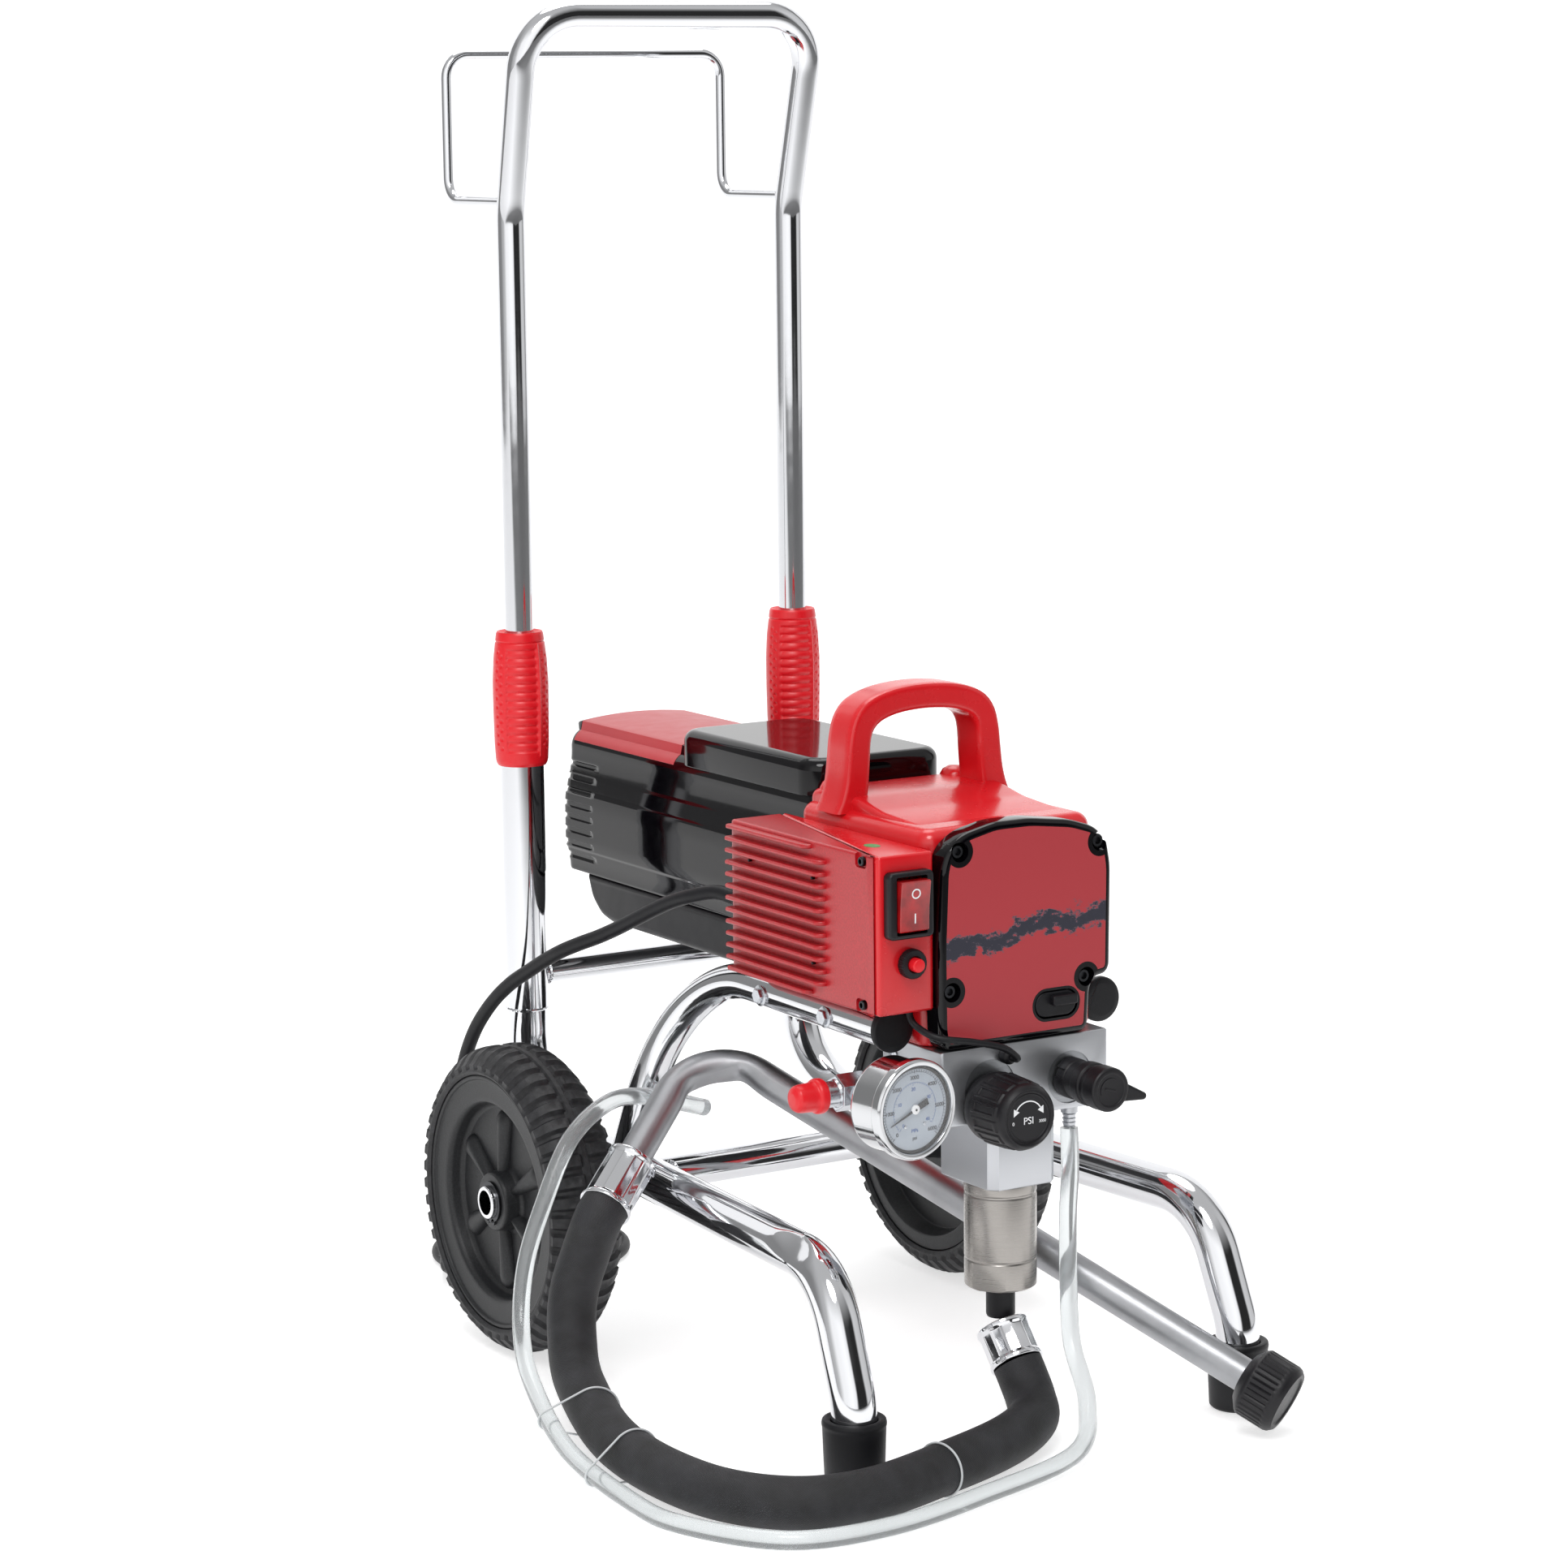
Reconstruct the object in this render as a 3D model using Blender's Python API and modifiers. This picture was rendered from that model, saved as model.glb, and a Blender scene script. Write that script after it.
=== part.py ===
"""Airless paint sprayer on a two-wheeled upright cart.

Metres, +Z up. The front of the machine (pump, gauge and knobs) faces -Y, the
two wheels are at the back, and the origin is on the floor under the middle of
the machine.
"""

import bpy
import bmesh
import numpy as np
from math import pi, sin, cos, atan2, sqrt, radians
from mathutils import Vector, Matrix

# Overall layout. Y is measured from the axle and moved by frontShift at the end.
frontShift = 0.1420        # puts the origin under the middle of the machine
gap = 0.0003               # between faces that touch
run = 0.0006               # around turning and sliding pieces

# Wheels and axle
wheelD = 0.235
tyreW = 0.062
track = 0.456              # over the outer faces of the tyres
rimD = 0.194
hubD = 0.046
axleD = 0.025
axleWall = 0.003
axleStub = 0.004           # axle past the circlip
circlipT = 0.0015
rimDish = 0.016            # depth of the outer recess

# Cart frame
uprightD = 0.034
uprightTop = 0.500
halfX = 0.125              # uprights from the middle
uprightY = 0.119
railD = 0.032
railBend = 0.070
footX = 0.165
footY = -0.421
footH = 0.050
footWall = 0.0058
armD = 0.028
armX = 0.089
armZ = 0.300
armFrontY = -0.352
armFootY = -0.060
armBend = 0.110
armBoltRear = -0.222
armBoltFront = -0.290
capT = 0.006
armCapR = 0.0165
bossR = 0.008              # pads on the housing that the arms are bolted to
upperCrossD = 0.018
upperCrossZ = 0.262
lowerCrossD = 0.020
lowerCrossY = -0.105

# Handle
handleD = 0.022
handleBendZ = 0.858
handleTopZ = 1.0065
handleTopY = 0.0845
handleTravel = 0.190
handleFoot = 0.432         # lower end of the legs
gripBottom = 0.430
gripTop = 0.535
gripD = 0.044
rackWire = 0.008
rackY = 0.222
rackTopZ = 0.979
rackZ = 0.866

# Motor
motorHalfX = 0.065
motorRear = 0.172
housingRear = -0.205
motorFront = housingRear + gap
motorTopZ = 0.456
motorSplitZ = 0.333
motorLowZ = 0.298
motorZ = 0.398             # shaft height
motorBore = 0.052
rotorR = 0.032
shaftR = 0.006
pinionR = 0.0057
gearR = 0.0342

# Gear housing and covers
housingHalfX = armX - armCapR - gap
housingFront = -0.3725
housingTop = 0.4405
blockTop = 0.287
handleY = -0.250
handleT = 0.034
coverT = 0.018
coverTop = 0.445

# Control box
boxOuter = 0.1190
boxRear = -0.190
boxFront = -0.3840
boxBottom = 0.3170
boxTop = 0.4290
finCount = 12
finT = 0.0030
finProud = 0.0085
finRear = -0.193
finFront = -0.320
bezelW, bezelH, bezelT = 0.037, 0.047, 0.008
bezelX, bezelZ = -0.0955, 0.3945
rockerW, rockerH = 0.024, 0.036
breakerX, breakerZ = -0.0925, 0.3525
breakerD = 0.021
buttonD = 0.010

# Pump
blockHalfX = 0.071
blockFront = -0.390
blockDepth = 0.076
blockStep = 0.233
lowHalfX = 0.0285
lowDepth = 0.065
lowBottom = 0.181
pumpY = -0.358
cylinderD = 0.052
cylinderBottom = 0.103
barbX, barbY, barbL = 0.046, -0.378, 0.017
rodD = 0.018
crankThrow = 0.008         # half of the piston's stroke
cylinderFloor = 0.112
rodBottom = cylinderFloor + 2 * crankThrow + 0.002
crankZ = motorZ - gearR - pinionR - gap
wristZ = 0.272
stubD = 0.022
ferruleD = 0.040
ferruleL = 0.030
ferruleTilt = radians(40)  # from the vertical, towards the front
ferruleTopZ = 0.0720
hoseD = 0.036

# Gauge and fitting
fittingY, fittingZ = -0.353, 0.260
gaugeX = -0.124            # where the gauge leaves the fitting
gaugeTurn = radians(7)
gaugeD = 0.066
bezelRingD = 0.0705
gaugeNear, gaugeFar = 0.040, 0.0745
capPlugD = 0.025

# Knobs
knobX, knobZ = -0.030, 0.2450
knobD, knobL = 0.053, 0.048
valveX, valveZ = 0.038, 0.2560
valveD, valveL = 0.032, 0.050
leverL = 0.034
sensorX, sensorZ = -0.018, 0.2790

# Suction side
tubeD = 0.025
tubeWall = 0.0015
strainerD = 0.052
strainerL = 0.036
returnD = 0.013
mainsD = 0.011
coilD = 0.155
coilH = 0.0235
coilX, coilY = -0.064, 0.226

for old in list(bpy.data.objects):
    bpy.data.objects.remove(old, do_unlink=True)
for old in list(bpy.data.collections):
    bpy.data.collections.remove(old)
parts = bpy.data.collections.new("airless_paint_sprayer")
cutters = bpy.data.collections.new("cutters")
bpy.context.scene.collection.children.link(parts)
bpy.context.scene.collection.children.link(cutters)


def material(name, hexColour, roughness, metallic=0.0):
    made = bpy.data.materials.new(name)
    made.use_nodes = True
    shader = made.node_tree.nodes["Principled BSDF"]
    rgb = [int(hexColour[i:i + 2], 16) / 255 for i in (0, 2, 4)]
    rgb = [v / 12.92 if v <= 0.04045 else ((v + 0.055) / 1.055) ** 2.4 for v in rgb]
    shader.inputs["Base Color"].default_value = (*rgb, 1)
    shader.inputs["Roughness"].default_value = roughness
    shader.inputs["Metallic"].default_value = metallic
    return made


LOOKS = {
    "chrome": ("d8d8dc", 0.08, 1.0), "red": ("c01c26", 0.3, 0.0), "black": ("1d1d20", 0.45, 0.0),
    "rubber": ("232325", 0.7, 0.0), "aluminium": ("c4c5c8", 0.35, 1.0), "steel": ("b9b3ab", 0.28, 1.0),
    "grip": ("e01b24", 0.4, 0.0), "clear": ("dfe3e6", 0.15, 0.0), "dial": ("b7c3cf", 0.4, 0.0),
    "copper": ("b06a3c", 0.35, 1.0), "iron": ("77787c", 0.4, 1.0),
}


def own(obj, look):
    """Gives the object a material of its own."""
    obj.data.materials.clear()
    obj.data.materials.append(material(obj.name + "_" + look, *LOOKS[look]))


def place(obj, look=None, at=(0, 0, 0), turn=(0, 0, 0), cutter=False):
    (cutters if cutter else parts).objects.link(obj)
    obj.location = at
    obj.rotation_euler = turn
    if cutter:
        obj.hide_render = True
        obj.display_type = 'WIRE'
    else:
        own(obj, look)
    return obj


# Turns that carry a local +Z axis onto an axis of the machine
ALONG_X = (0, pi / 2, 0)
ALONG_MINUS_X = (0, -pi / 2, 0)
ALONG_FRONT = (pi / 2, 0, 0)      # local +Z to -Y, local +Y to +Z
SIDE_PLATE = (pi / 2, 0, pi / 2)  # local x to Y, local y to Z, local z to X


def box(name, low, high, look=None, bevel=0.0, cutter=False, segments=2):
    """A cuboid between two corners, with rounded edges."""
    mesh = bpy.data.meshes.new(name)
    bm = bmesh.new()
    bmesh.ops.create_cube(bm, size=1)
    low, high = Vector(low), Vector(high)
    for v in bm.verts:
        v.co = Vector(v.co[i] * (high[i] - low[i]) for i in range(3))
    bm.to_mesh(mesh)
    bm.free()
    obj = place(bpy.data.objects.new(name, mesh), look, (low + high) / 2, cutter=cutter)
    if bevel:
        soften(obj, bevel, segments)
    return obj


def cylinder(name, radius, length, look=None, at=(0, 0, 0), turn=(0, 0, 0), sides=32, cutter=False, top=None):
    """A cylinder or cone centred on at."""
    mesh = bpy.data.meshes.new(name)
    bm = bmesh.new()
    bmesh.ops.create_cone(bm, cap_ends=True, segments=sides, radius1=radius, radius2=radius if top is None else top, depth=length)
    bm.to_mesh(mesh)
    bm.free()
    return place(bpy.data.objects.new(name, mesh), look, at, turn, cutter)


def soften(obj, width, segments=2, angle=35):
    made = obj.modifiers.new("Bevel", 'BEVEL')
    made.width = width
    made.segments = segments
    made.limit_method = 'ANGLE'
    made.angle_limit = radians(angle)
    return obj


def turned(name, profile, look=None, at=(0, 0, 0), turn=(0, 0, 0), steps=32, closed=False, cutter=False):
    """A profile of (radius, height) pairs, outer side from top to bottom, carried round local Z."""
    mesh = bpy.data.meshes.new(name)
    count = len(profile)
    edges = [(i, i + 1) for i in range(count - 1)] + ([(count - 1, 0)] if closed else [])
    mesh.from_pydata([(r, 0, z) for r, z in profile], edges, [])
    obj = place(bpy.data.objects.new(name, mesh), look, at, turn, cutter)
    made = obj.modifiers.new("Screw", 'SCREW')
    made.steps = made.render_steps = steps
    made.use_merge_vertices = True
    made.merge_threshold = 0.00001
    made.use_smooth_shade = True
    return obj


def ring(name, outer, inner, low, high, look=None, at=(0, 0, 0), turn=(0, 0, 0), steps=32, cutter=False):
    return turned(name, [(outer, high), (outer, low), (inner, low), (inner, high)], look, at, turn, steps, True, cutter)


def curve(name, points, radius, resolution=4):
    data = bpy.data.curves.new(name, 'CURVE')
    data.dimensions = '3D'
    spline = data.splines.new('POLY')
    spline.points.add(len(points) - 1)
    for target, point in zip(spline.points, points):
        target.co = (*point, 1)
    data.bevel_depth = radius
    data.bevel_resolution = resolution
    data.use_fill_caps = True
    return bpy.data.objects.new(name, data)


def tube(name, points, radius, look=None, resolution=4, cutter=False):
    return place(curve(name, points, radius, resolution), look, cutter=cutter)


def filleted(corners):
    """Points of a bent tube: (x, y, z, bend radius) corners joined by arcs."""
    corners = [(Vector(c[:3]), c[3] if len(c) > 3 else 0) for c in corners]
    points = [corners[0][0]]
    for (before, _), (corner, radius), (after, _) in zip(corners, corners[1:], corners[2:]):
        into, out = (before - corner).normalized(), (after - corner).normalized()
        half = into.angle(out) / 2
        reach = radius / np.tan(half)
        middle = corner + (into + out).normalized() * radius / sin(half)
        start, end = corner + into * reach, corner + out * reach
        first, last = start - middle, end - middle
        sweep = first.angle(last)
        steps = max(2, round(sweep / radians(11)))
        for i in range(steps + 1):
            f = i / steps
            points.append(middle + (first * sin((1 - f) * sweep) + last * sin(f * sweep)) / sin(sweep))
    points.append(corners[-1][0])
    return points


def smooth(knots, spacing):
    """Even points along a Catmull-Rom curve through the knots, with a straight run to the first and the last."""
    k = np.array(knots, float)
    k = np.vstack([2 * k[0] - k[1], k, 2 * k[-1] - k[-2]])
    t = np.linspace(0, 1, 25)[:-1, None]
    fine = [0.5 * (2 * b + (c - a) * t + (2 * a - 5 * b + 4 * c - d) * t ** 2 + (3 * b - a - 3 * c + d) * t ** 3)
            for a, b, c, d in zip(k, k[1:], k[2:], k[3:])]
    fine = np.vstack(fine + [k[-2:-1]])
    along = np.concatenate([[0], np.cumsum(np.linalg.norm(np.diff(fine, axis=0), axis=1))])
    first, last = along[24], along[-25]
    even = np.linspace(first, last, max(2, round((last - first) / spacing)) + 1)
    inside = np.stack([np.interp(even, along, fine[:, i]) for i in range(3)], 1)
    return np.vstack([k[1:2], inside, k[-2:-1]]).tolist()


def outline(name, loops, thickness, look=None, at=(0, 0, 0), turn=(0, 0, 0), cutter=False):
    """A flat outline with holes, extruded about its own plane, as a mesh."""
    data = bpy.data.curves.new(name, 'CURVE')
    data.dimensions = '2D'
    data.fill_mode = 'BOTH'
    data.extrude = thickness / 2
    for loop in loops:
        spline = data.splines.new('POLY')
        spline.use_cyclic_u = True
        spline.points.add(len(loop) - 1)
        for target, (x, y) in zip(spline.points, loop):
            target.co = (x, y, 0, 1)
    obj = place(bpy.data.objects.new(name, data), look or "black", at, turn)
    return meshed(obj, look, cutter)


def meshed(obj, look=None, cutter=False):
    """The curve as a closed mesh object in its place."""
    bpy.context.view_layer.update()
    graph = bpy.context.evaluated_depsgraph_get()
    mesh = bpy.data.meshes.new_from_object(obj.evaluated_get(graph))
    bm = bmesh.new()
    bm.from_mesh(mesh)
    bmesh.ops.remove_doubles(bm, verts=bm.verts, dist=0.00001)
    bmesh.ops.recalc_face_normals(bm, faces=bm.faces)
    bm.to_mesh(mesh)
    bm.free()
    name, matrix = obj.name, obj.matrix_world.copy()
    bpy.data.objects.remove(obj, do_unlink=True)
    made = bpy.data.objects.new(name, mesh)
    place(made, look, cutter=cutter)
    made.matrix_world = matrix
    return made


def cut(obj, *others, operation='DIFFERENCE'):
    for other in others:
        made = obj.modifiers.new("Boolean", 'BOOLEAN')
        made.operation = operation
        made.object = other
    return obj


def join(obj, *others):
    return cut(obj, *others, operation='UNION')


def pivot(name, at, turn=(0, 0, 0)):
    made = bpy.data.objects.new(name, None)
    parts.objects.link(made)
    made.location = at
    made.rotation_euler = turn
    bpy.context.view_layer.update()
    return made


def hang(obj, parent):
    """Parents the piece to a pivot and keeps its place."""
    bpy.context.view_layer.update()
    matrix = obj.matrix_world.copy()
    obj.parent = parent
    obj.matrix_parent_inverse = parent.matrix_world.inverted()
    obj.matrix_world = matrix
    return obj


def arc(cx, cy, radius, start, end, steps):
    return [(cx + radius * cos(radians(start + (end - start) * i / steps)),
             cy + radius * sin(radians(start + (end - start) * i / steps))) for i in range(steps + 1)]


def roundRect(cx, cy, width, height, radius, steps=3):
    w, h = width / 2 - radius, height / 2 - radius
    return (arc(cx + w, cy + h, radius, 0, 90, steps) + arc(cx - w, cy + h, radius, 90, 180, steps)
            + arc(cx - w, cy - h, radius, 180, 270, steps) + arc(cx + w, cy - h, radius, 270, 360, steps))


SIDES = (("left", -1), ("right", 1))
wheelR = wheelD / 2
axleR = axleD / 2
railZ = wheelR + axleR + railD / 2 + gap
uprightFoot = railZ + railBend + 0.0197      # seam to the side rail, above its bend
uprightBore = min(railD - 0.0034, uprightD - 0.002)


def railX(y):
    """The side rails splay from the uprights to the feet."""
    return halfX + (footX - 0.003 - halfX) * (uprightY - y) / (uprightY - (footY + 0.036))


# Side rails: down from the uprights, forward over the axle, and down to the feet
for side, s in SIDES:
    path = filleted([
        (s * halfX, uprightY, uprightFoot - gap), (s * halfX, uprightY, railZ, railBend),
        (s * railX(footY + 0.036), footY + 0.036, railZ, 0.060),
        (s * footX, footY, 0.060, 0.050), (s * footX, footY, footWall + gap)])
    tube(side + "_side_rail", path, railD / 2, "chrome")

# Uprights: plain tubes that the handle slides into
for side, s in SIDES:
    ring(side + "_upright", uprightD / 2, uprightBore / 2, uprightFoot, uprightTop, "chrome",
         (s * halfX, uprightY, 0), steps=28)

# Arms: up from the rails and forward under the motor
for side, s in SIDES:
    foot = railX(armFootY)
    arm = meshed(tube("arm_path_" + side, filleted([
        (s * foot, armFootY, railZ), (s * armX, armFootY, armZ, armBend),
        (s * armX, armFrontY, armZ)]), armD / 2, "chrome"), "chrome")
    arm.name = side + "_arm"
    seat = meshed(tube("arm_seat_" + side, [(s * railX(0.04), 0.04, railZ), (s * railX(-0.2), -0.2, railZ)],
                       railD / 2 + gap, "chrome"), None, True)
    cut(arm, seat)
    turned(side + "_arm_cap", [(0, capT), (armCapR - 0.003, capT), (armCapR, capT - 0.002), (armCapR, gap), (0, gap)], "rubber",
           (s * armX, armFrontY, armZ), ALONG_FRONT, 24)

# Cross tubes between the uprights and between the rails
for name, y, z, diameter, reach in (
        ("upper_cross_tube", uprightY, upperCrossZ, upperCrossD, halfX - uprightD / 2 - gap),
        ("lower_cross_tube", lowerCrossY, railZ, lowerCrossD, railX(lowerCrossY) - railD / 2 - 4 * gap)):
    cylinder(name, diameter / 2, 2 * reach, "chrome", (0, y, z), ALONG_X, 20)

# Axle and circlips
ring("axle", axleR, axleR - axleWall, -track / 2, track / 2, "chrome", (0, 0, wheelR), ALONG_X, 28)
for side, s in SIDES:
    turn = ALONG_X if s > 0 else ALONG_MINUS_X
    ring(side + "_circlip", axleR + 0.0035, axleR + gap / 2, track / 2 - axleStub - circlipT, track / 2 - axleStub, "iron",
         (0, 0, wheelR), turn, 24)

# Wheels: a dished rim on the axle and a tyre of its own
for side, s in SIDES:
    turn = ALONG_X if s > 0 else ALONG_MINUS_X
    spin = pivot(side + "_wheel_pivot", (0, 0, wheelR), turn)
    outer = track / 2 - axleStub - circlipT - gap
    inner = track / 2 - tyreW
    face = track / 2 - 0.004
    profile = [(hubD / 2, outer), (hubD / 2, face - rimDish), (rimD / 2 - 0.016, face - rimDish + 0.002),
               (rimD / 2 - 0.013, face - 0.002), (rimD / 2, face), (rimD / 2, inner + 0.004),
               (rimD / 2 - 0.012, inner + 0.003), (rimD / 2 - 0.016, inner + 0.018), (hubD / 2, inner + 0.016),
               (hubD / 2 - 0.002, inner + 0.001), (axleR + gap, inner + 0.001), (axleR + gap, outer)]
    hang(turned(side + "_rim", profile, "black", (0, 0, wheelR), turn, 32, True), spin)
    t = track / 2
    profile = [(wheelR - 0.012, t - 0.002), (wheelR - 0.003, t - 0.008), (wheelR, t - 0.014),
               (wheelR, inner + 0.014), (wheelR - 0.003, inner + 0.008), (wheelR - 0.012, inner + 0.002),
               (rimD / 2 + gap, inner + 0.001), (rimD / 2 + gap, t - 0.001)]
    hang(turned(side + "_tyre", profile, "rubber", (0, 0, wheelR), turn, 32, True), spin)

# Feet
for side, s in SIDES:
    r = railD / 2 + gap
    turned(side + "_foot", [(0, footWall), (r, footWall), (r, footH), (r + 0.0055, footH), (r + 0.0062, footH - 0.004),
                            (r + 0.0040, 0.002), (r + 0.002, 0), (0, 0)], "rubber", (s * footX, footY, 0), steps=28)

# Handle: bow, hose rack and the twist grips that lock it
slide = pivot("handle_pivot", (0, uprightY, handleFoot))
bow = tube("handle_bow", filleted([
    (-halfX, uprightY, handleFoot), (-halfX, uprightY, handleBendZ, 0.080), (-halfX - 0.003, handleTopY, handleTopZ, 0.042),
    (halfX + 0.003, handleTopY, handleTopZ, 0.042), (halfX, uprightY, handleBendZ, 0.080), (halfX, uprightY, handleFoot)]),
    handleD / 2, "chrome")
hang(bow, slide)
rackStart = uprightY + handleD / 2 - 0.0005
rack = tube("hose_rack", filleted([
    (-halfX, rackStart, rackZ), (-halfX, rackY, rackZ, 0.018), (-halfX, rackY, rackTopZ, 0.018),
    (halfX, rackY, rackTopZ, 0.018), (halfX, rackY, rackZ, 0.018), (halfX, rackStart, rackZ)]),
    rackWire / 2, "chrome", 2)
hang(rack, slide)
for side, s in SIDES:
    twist = pivot(side + "_grip_pivot", (s * halfX, uprightY, 0))
    bore, neck = uprightD / 2 + gap, handleD / 2 + run
    profile = [(neck + 0.0055, gripTop), (neck + 0.007, gripTop - 0.003), (gripD / 2 - 0.001, gripBottom + 0.060),
               (gripD / 2, gripBottom + 0.045), (gripD / 2 - 0.0015, gripBottom + 0.004), (gripD / 2 - 0.003, gripBottom),
               (bore, gripBottom), (bore, uprightTop + gap), (neck, uprightTop + gap), (neck, gripTop)]
    hang(turned(side + "_grip", profile, "grip", (s * halfX, uprightY, 0), steps=24, closed=True), twist)

# Motor: covers, stator and rotor
profile = [(-motorHalfX, motorSplitZ), (motorHalfX, motorSplitZ), (motorHalfX, motorTopZ - 0.024)]
profile += arc(motorHalfX - 0.022, motorTopZ - 0.024, 0.022, 20, 80, 3)
profile += [(0, motorTopZ)]
profile += arc(-motorHalfX + 0.022, motorTopZ - 0.024, 0.022, 100, 160, 3)
profile += [(-motorHalfX, motorTopZ - 0.024)]
length = motorRear - motorFront - gap
cover = outline("motor_cover", [profile], length, "black", (0, (motorRear + motorFront + gap) / 2, 0), ALONG_FRONT)
hood = box("hood_form", (-motorHalfX + 0.006, motorFront + gap, motorTopZ - 0.040), (motorHalfX - 0.006, -0.005, motorTopZ + 0.012),
           cutter=True, bevel=0.010)
boreY = motorRear - 0.024
bore = cylinder("motor_bore", motorBore, boreY - motorFront + 0.02, at=(0, (boreY + motorFront - 0.02) / 2, motorZ),
                turn=ALONG_FRONT, sides=28, cutter=True)
join(cover, hood)
cut(cover, bore)
lower = outline("motor_lower_cover", [[(0.140, motorSplitZ - gap), (0.132, motorLowZ + 0.016), (0.118, motorLowZ + 0.004),
                                       (0.100, motorLowZ), (-0.196, motorLowZ), (-0.196, motorSplitZ - gap)]],
                2 * (motorHalfX - 0.006), "black", (0, 0, 0), SIDE_PLATE)
soften(lower, 0.004, 1, 50)
spin = pivot("rotor_pivot", (0, 0, motorZ), ALONG_FRONT)
front = -housingRear + 0.036
rotor = turned("rotor", [(0, front), (pinionR, front), (pinionR, front - 0.020), (shaftR - 0.001, front - 0.0202),
                         (shaftR - 0.001, 0.130), (rotorR, 0.128), (rotorR, -0.100), (shaftR, -0.102),
                         (shaftR, -boreY + gap), (0, -boreY + gap)], "iron", (0, 0, motorZ), ALONG_FRONT, 20)
hang(rotor, spin)

# Gear housing: one casting with its carry handle
housing = box("gear_housing", (-housingHalfX, housingFront, blockTop + gap), (housingHalfX, housingRear, housingTop), "red")
soften(housing, 0.006, 2)
hb, ht = housingTop + 0.0008, 0.527
leg = [(-0.0715, hb), (-0.0700, 0.450), (-0.0660, 0.465), (-0.0635, 0.489), (-0.0580, 0.503), (-0.0470, 0.515), (-0.0280, 0.5235)]
outerLoop = [(-0.0700, housingTop - 0.020)] + leg + [(0, ht)]
outerLoop += [(-x, z) for x, z in outerLoop[-2::-1]]
window = [(-0.046, 0.4545), (-0.046, 0.489), (-0.040, 0.501), (-0.026, 0.509), (0, 0.512), (0.026, 0.509), (0.040, 0.501),
          (0.046, 0.489), (0.046, 0.4545)]
bow = outline("carry_handle_form", [outerLoop], handleT, None, (0, handleY, 0), ALONG_FRONT, True)
fingers = outline("carry_window", [window], handleT + 0.02, None, (0, handleY, 0), ALONG_FRONT, True)
deck = outline("deck_form", [[(-0.285, housingTop - 0.03), (-0.268, 0.4505), (housingRear - 0.004, 0.4515), (housingRear - 0.004, housingTop - 0.03)]],
               2 * (housingHalfX - 0.008), None, (0, 0, 0), SIDE_PLATE, True)
cavity = cylinder("gear_cavity", 0.046, 0.16, at=(0, housingRear - 0.012 - 0.08, crankZ + crankThrow), turn=ALONG_FRONT, sides=36, cutter=True)
well = box("rod_well", (-0.021, -0.40, blockTop - 0.02), (0.021, pumpY + 0.021, crankZ), cutter=True)
shaftHole = cylinder("shaft_hole", pinionR + 0.001, 0.05, at=(0, housingRear, motorZ), turn=ALONG_FRONT, sides=20, cutter=True)
bossL = 0.020
bosses = [cylinder("%s_arm_boss_form_%d" % (side, i), bossR, bossL, at=(s * (armX - armD / 2 - gap - bossL / 2), y, armZ),
                   turn=ALONG_X, sides=20, cutter=True) for side, s in SIDES for i, y in enumerate((armBoltRear, armBoltFront))]
join(housing, deck, bow, *bosses)
cut(housing, fingers, cavity, well, shaftHole)

# Front cover with the pocket of the oil plug
plugX, plugZ = 0.026, 0.3105
top = [(0.070, 0.3270), (0.0735, 0.332), (0.0745, 0.405), (0.071, 0.424), (0.060, 0.434), (0.040, 0.4405), (0.005, coverTop),
       (-0.025, coverTop), (-0.050, 0.4395), (-0.064, 0.430), (-0.0695, 0.416), (-0.0720, 0.360), (-0.0715, 0.300), (-0.068, blockTop + gap),
       (0.050, blockTop + gap), (0.0545, 0.292), (0.0560, 0.318), (0.060, 0.3255)]
cover = outline("front_cover", [top], coverT - gap, "black", (0, housingFront - coverT / 2 - gap / 2, 0), ALONG_FRONT)
soften(cover, 0.004, 2, 40)
plugPocket = outline("plug_pocket", [roundRect(plugX, plugZ, 0.036, 0.019, 0.0094, 4)], 0.016, None,
                     (0, housingFront - coverT, 0), ALONG_FRONT, True)
cut(cover, plugPocket)
pull = pivot("oil_plug_pivot", (plugX, housingFront - coverT + 0.008, plugZ), ALONG_FRONT)
plug = outline("oil_plug", [roundRect(plugX, plugZ, 0.0354, 0.0184, 0.0091, 4)], 0.0085, "rubber",
               (0, housingFront - coverT + 0.0034, 0), ALONG_FRONT)
tab = box("plug_tab_form", (plugX - 0.004, housingFront - coverT - 0.0035, plugZ + 0.001), (plugX + 0.012, housingFront - coverT + 0.003, plugZ + 0.007), cutter=True)
join(plug, tab)
hang(plug, pull)

# Crank gear with its eccentric pin, connecting rod and piston
crank = pivot("crank_pivot", (0, 0, crankZ), ALONG_FRONT)
discBack = -housingRear + 0.014
gear = turned("crank_gear", [(0, -pumpY - 0.020), (0.013, -pumpY - 0.020), (0.013, discBack + 0.016), (gearR, discBack + 0.015),
                             (gearR, discBack + 0.001), (0.010, discBack), (0.010, discBack - 0.0015), (0, discBack - 0.0015)],
              "iron", (0, 0, crankZ), ALONG_FRONT, 24)
pinForm = cylinder("crank_pin_form", 0.0045, 0.016, at=(0, pumpY + 0.0145, crankZ + crankThrow), turn=ALONG_FRONT, sides=16, cutter=True)
join(gear, pinForm)
hang(gear, crank)
pump = pivot("piston_pivot", (0, pumpY, wristZ))
rodTop = wristZ + 0.006
piston = cylinder("piston_rod", rodD / 2, rodTop - rodBottom, "steel", (0, pumpY, (rodTop + rodBottom) / 2), sides=24)
slot = box("wrist_slot", (-0.02, pumpY - 0.0048, wristZ - 0.008), (0.02, pumpY + 0.0048, rodTop + 0.01), cutter=True)
cut(piston, slot)
hang(piston, pump)
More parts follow.
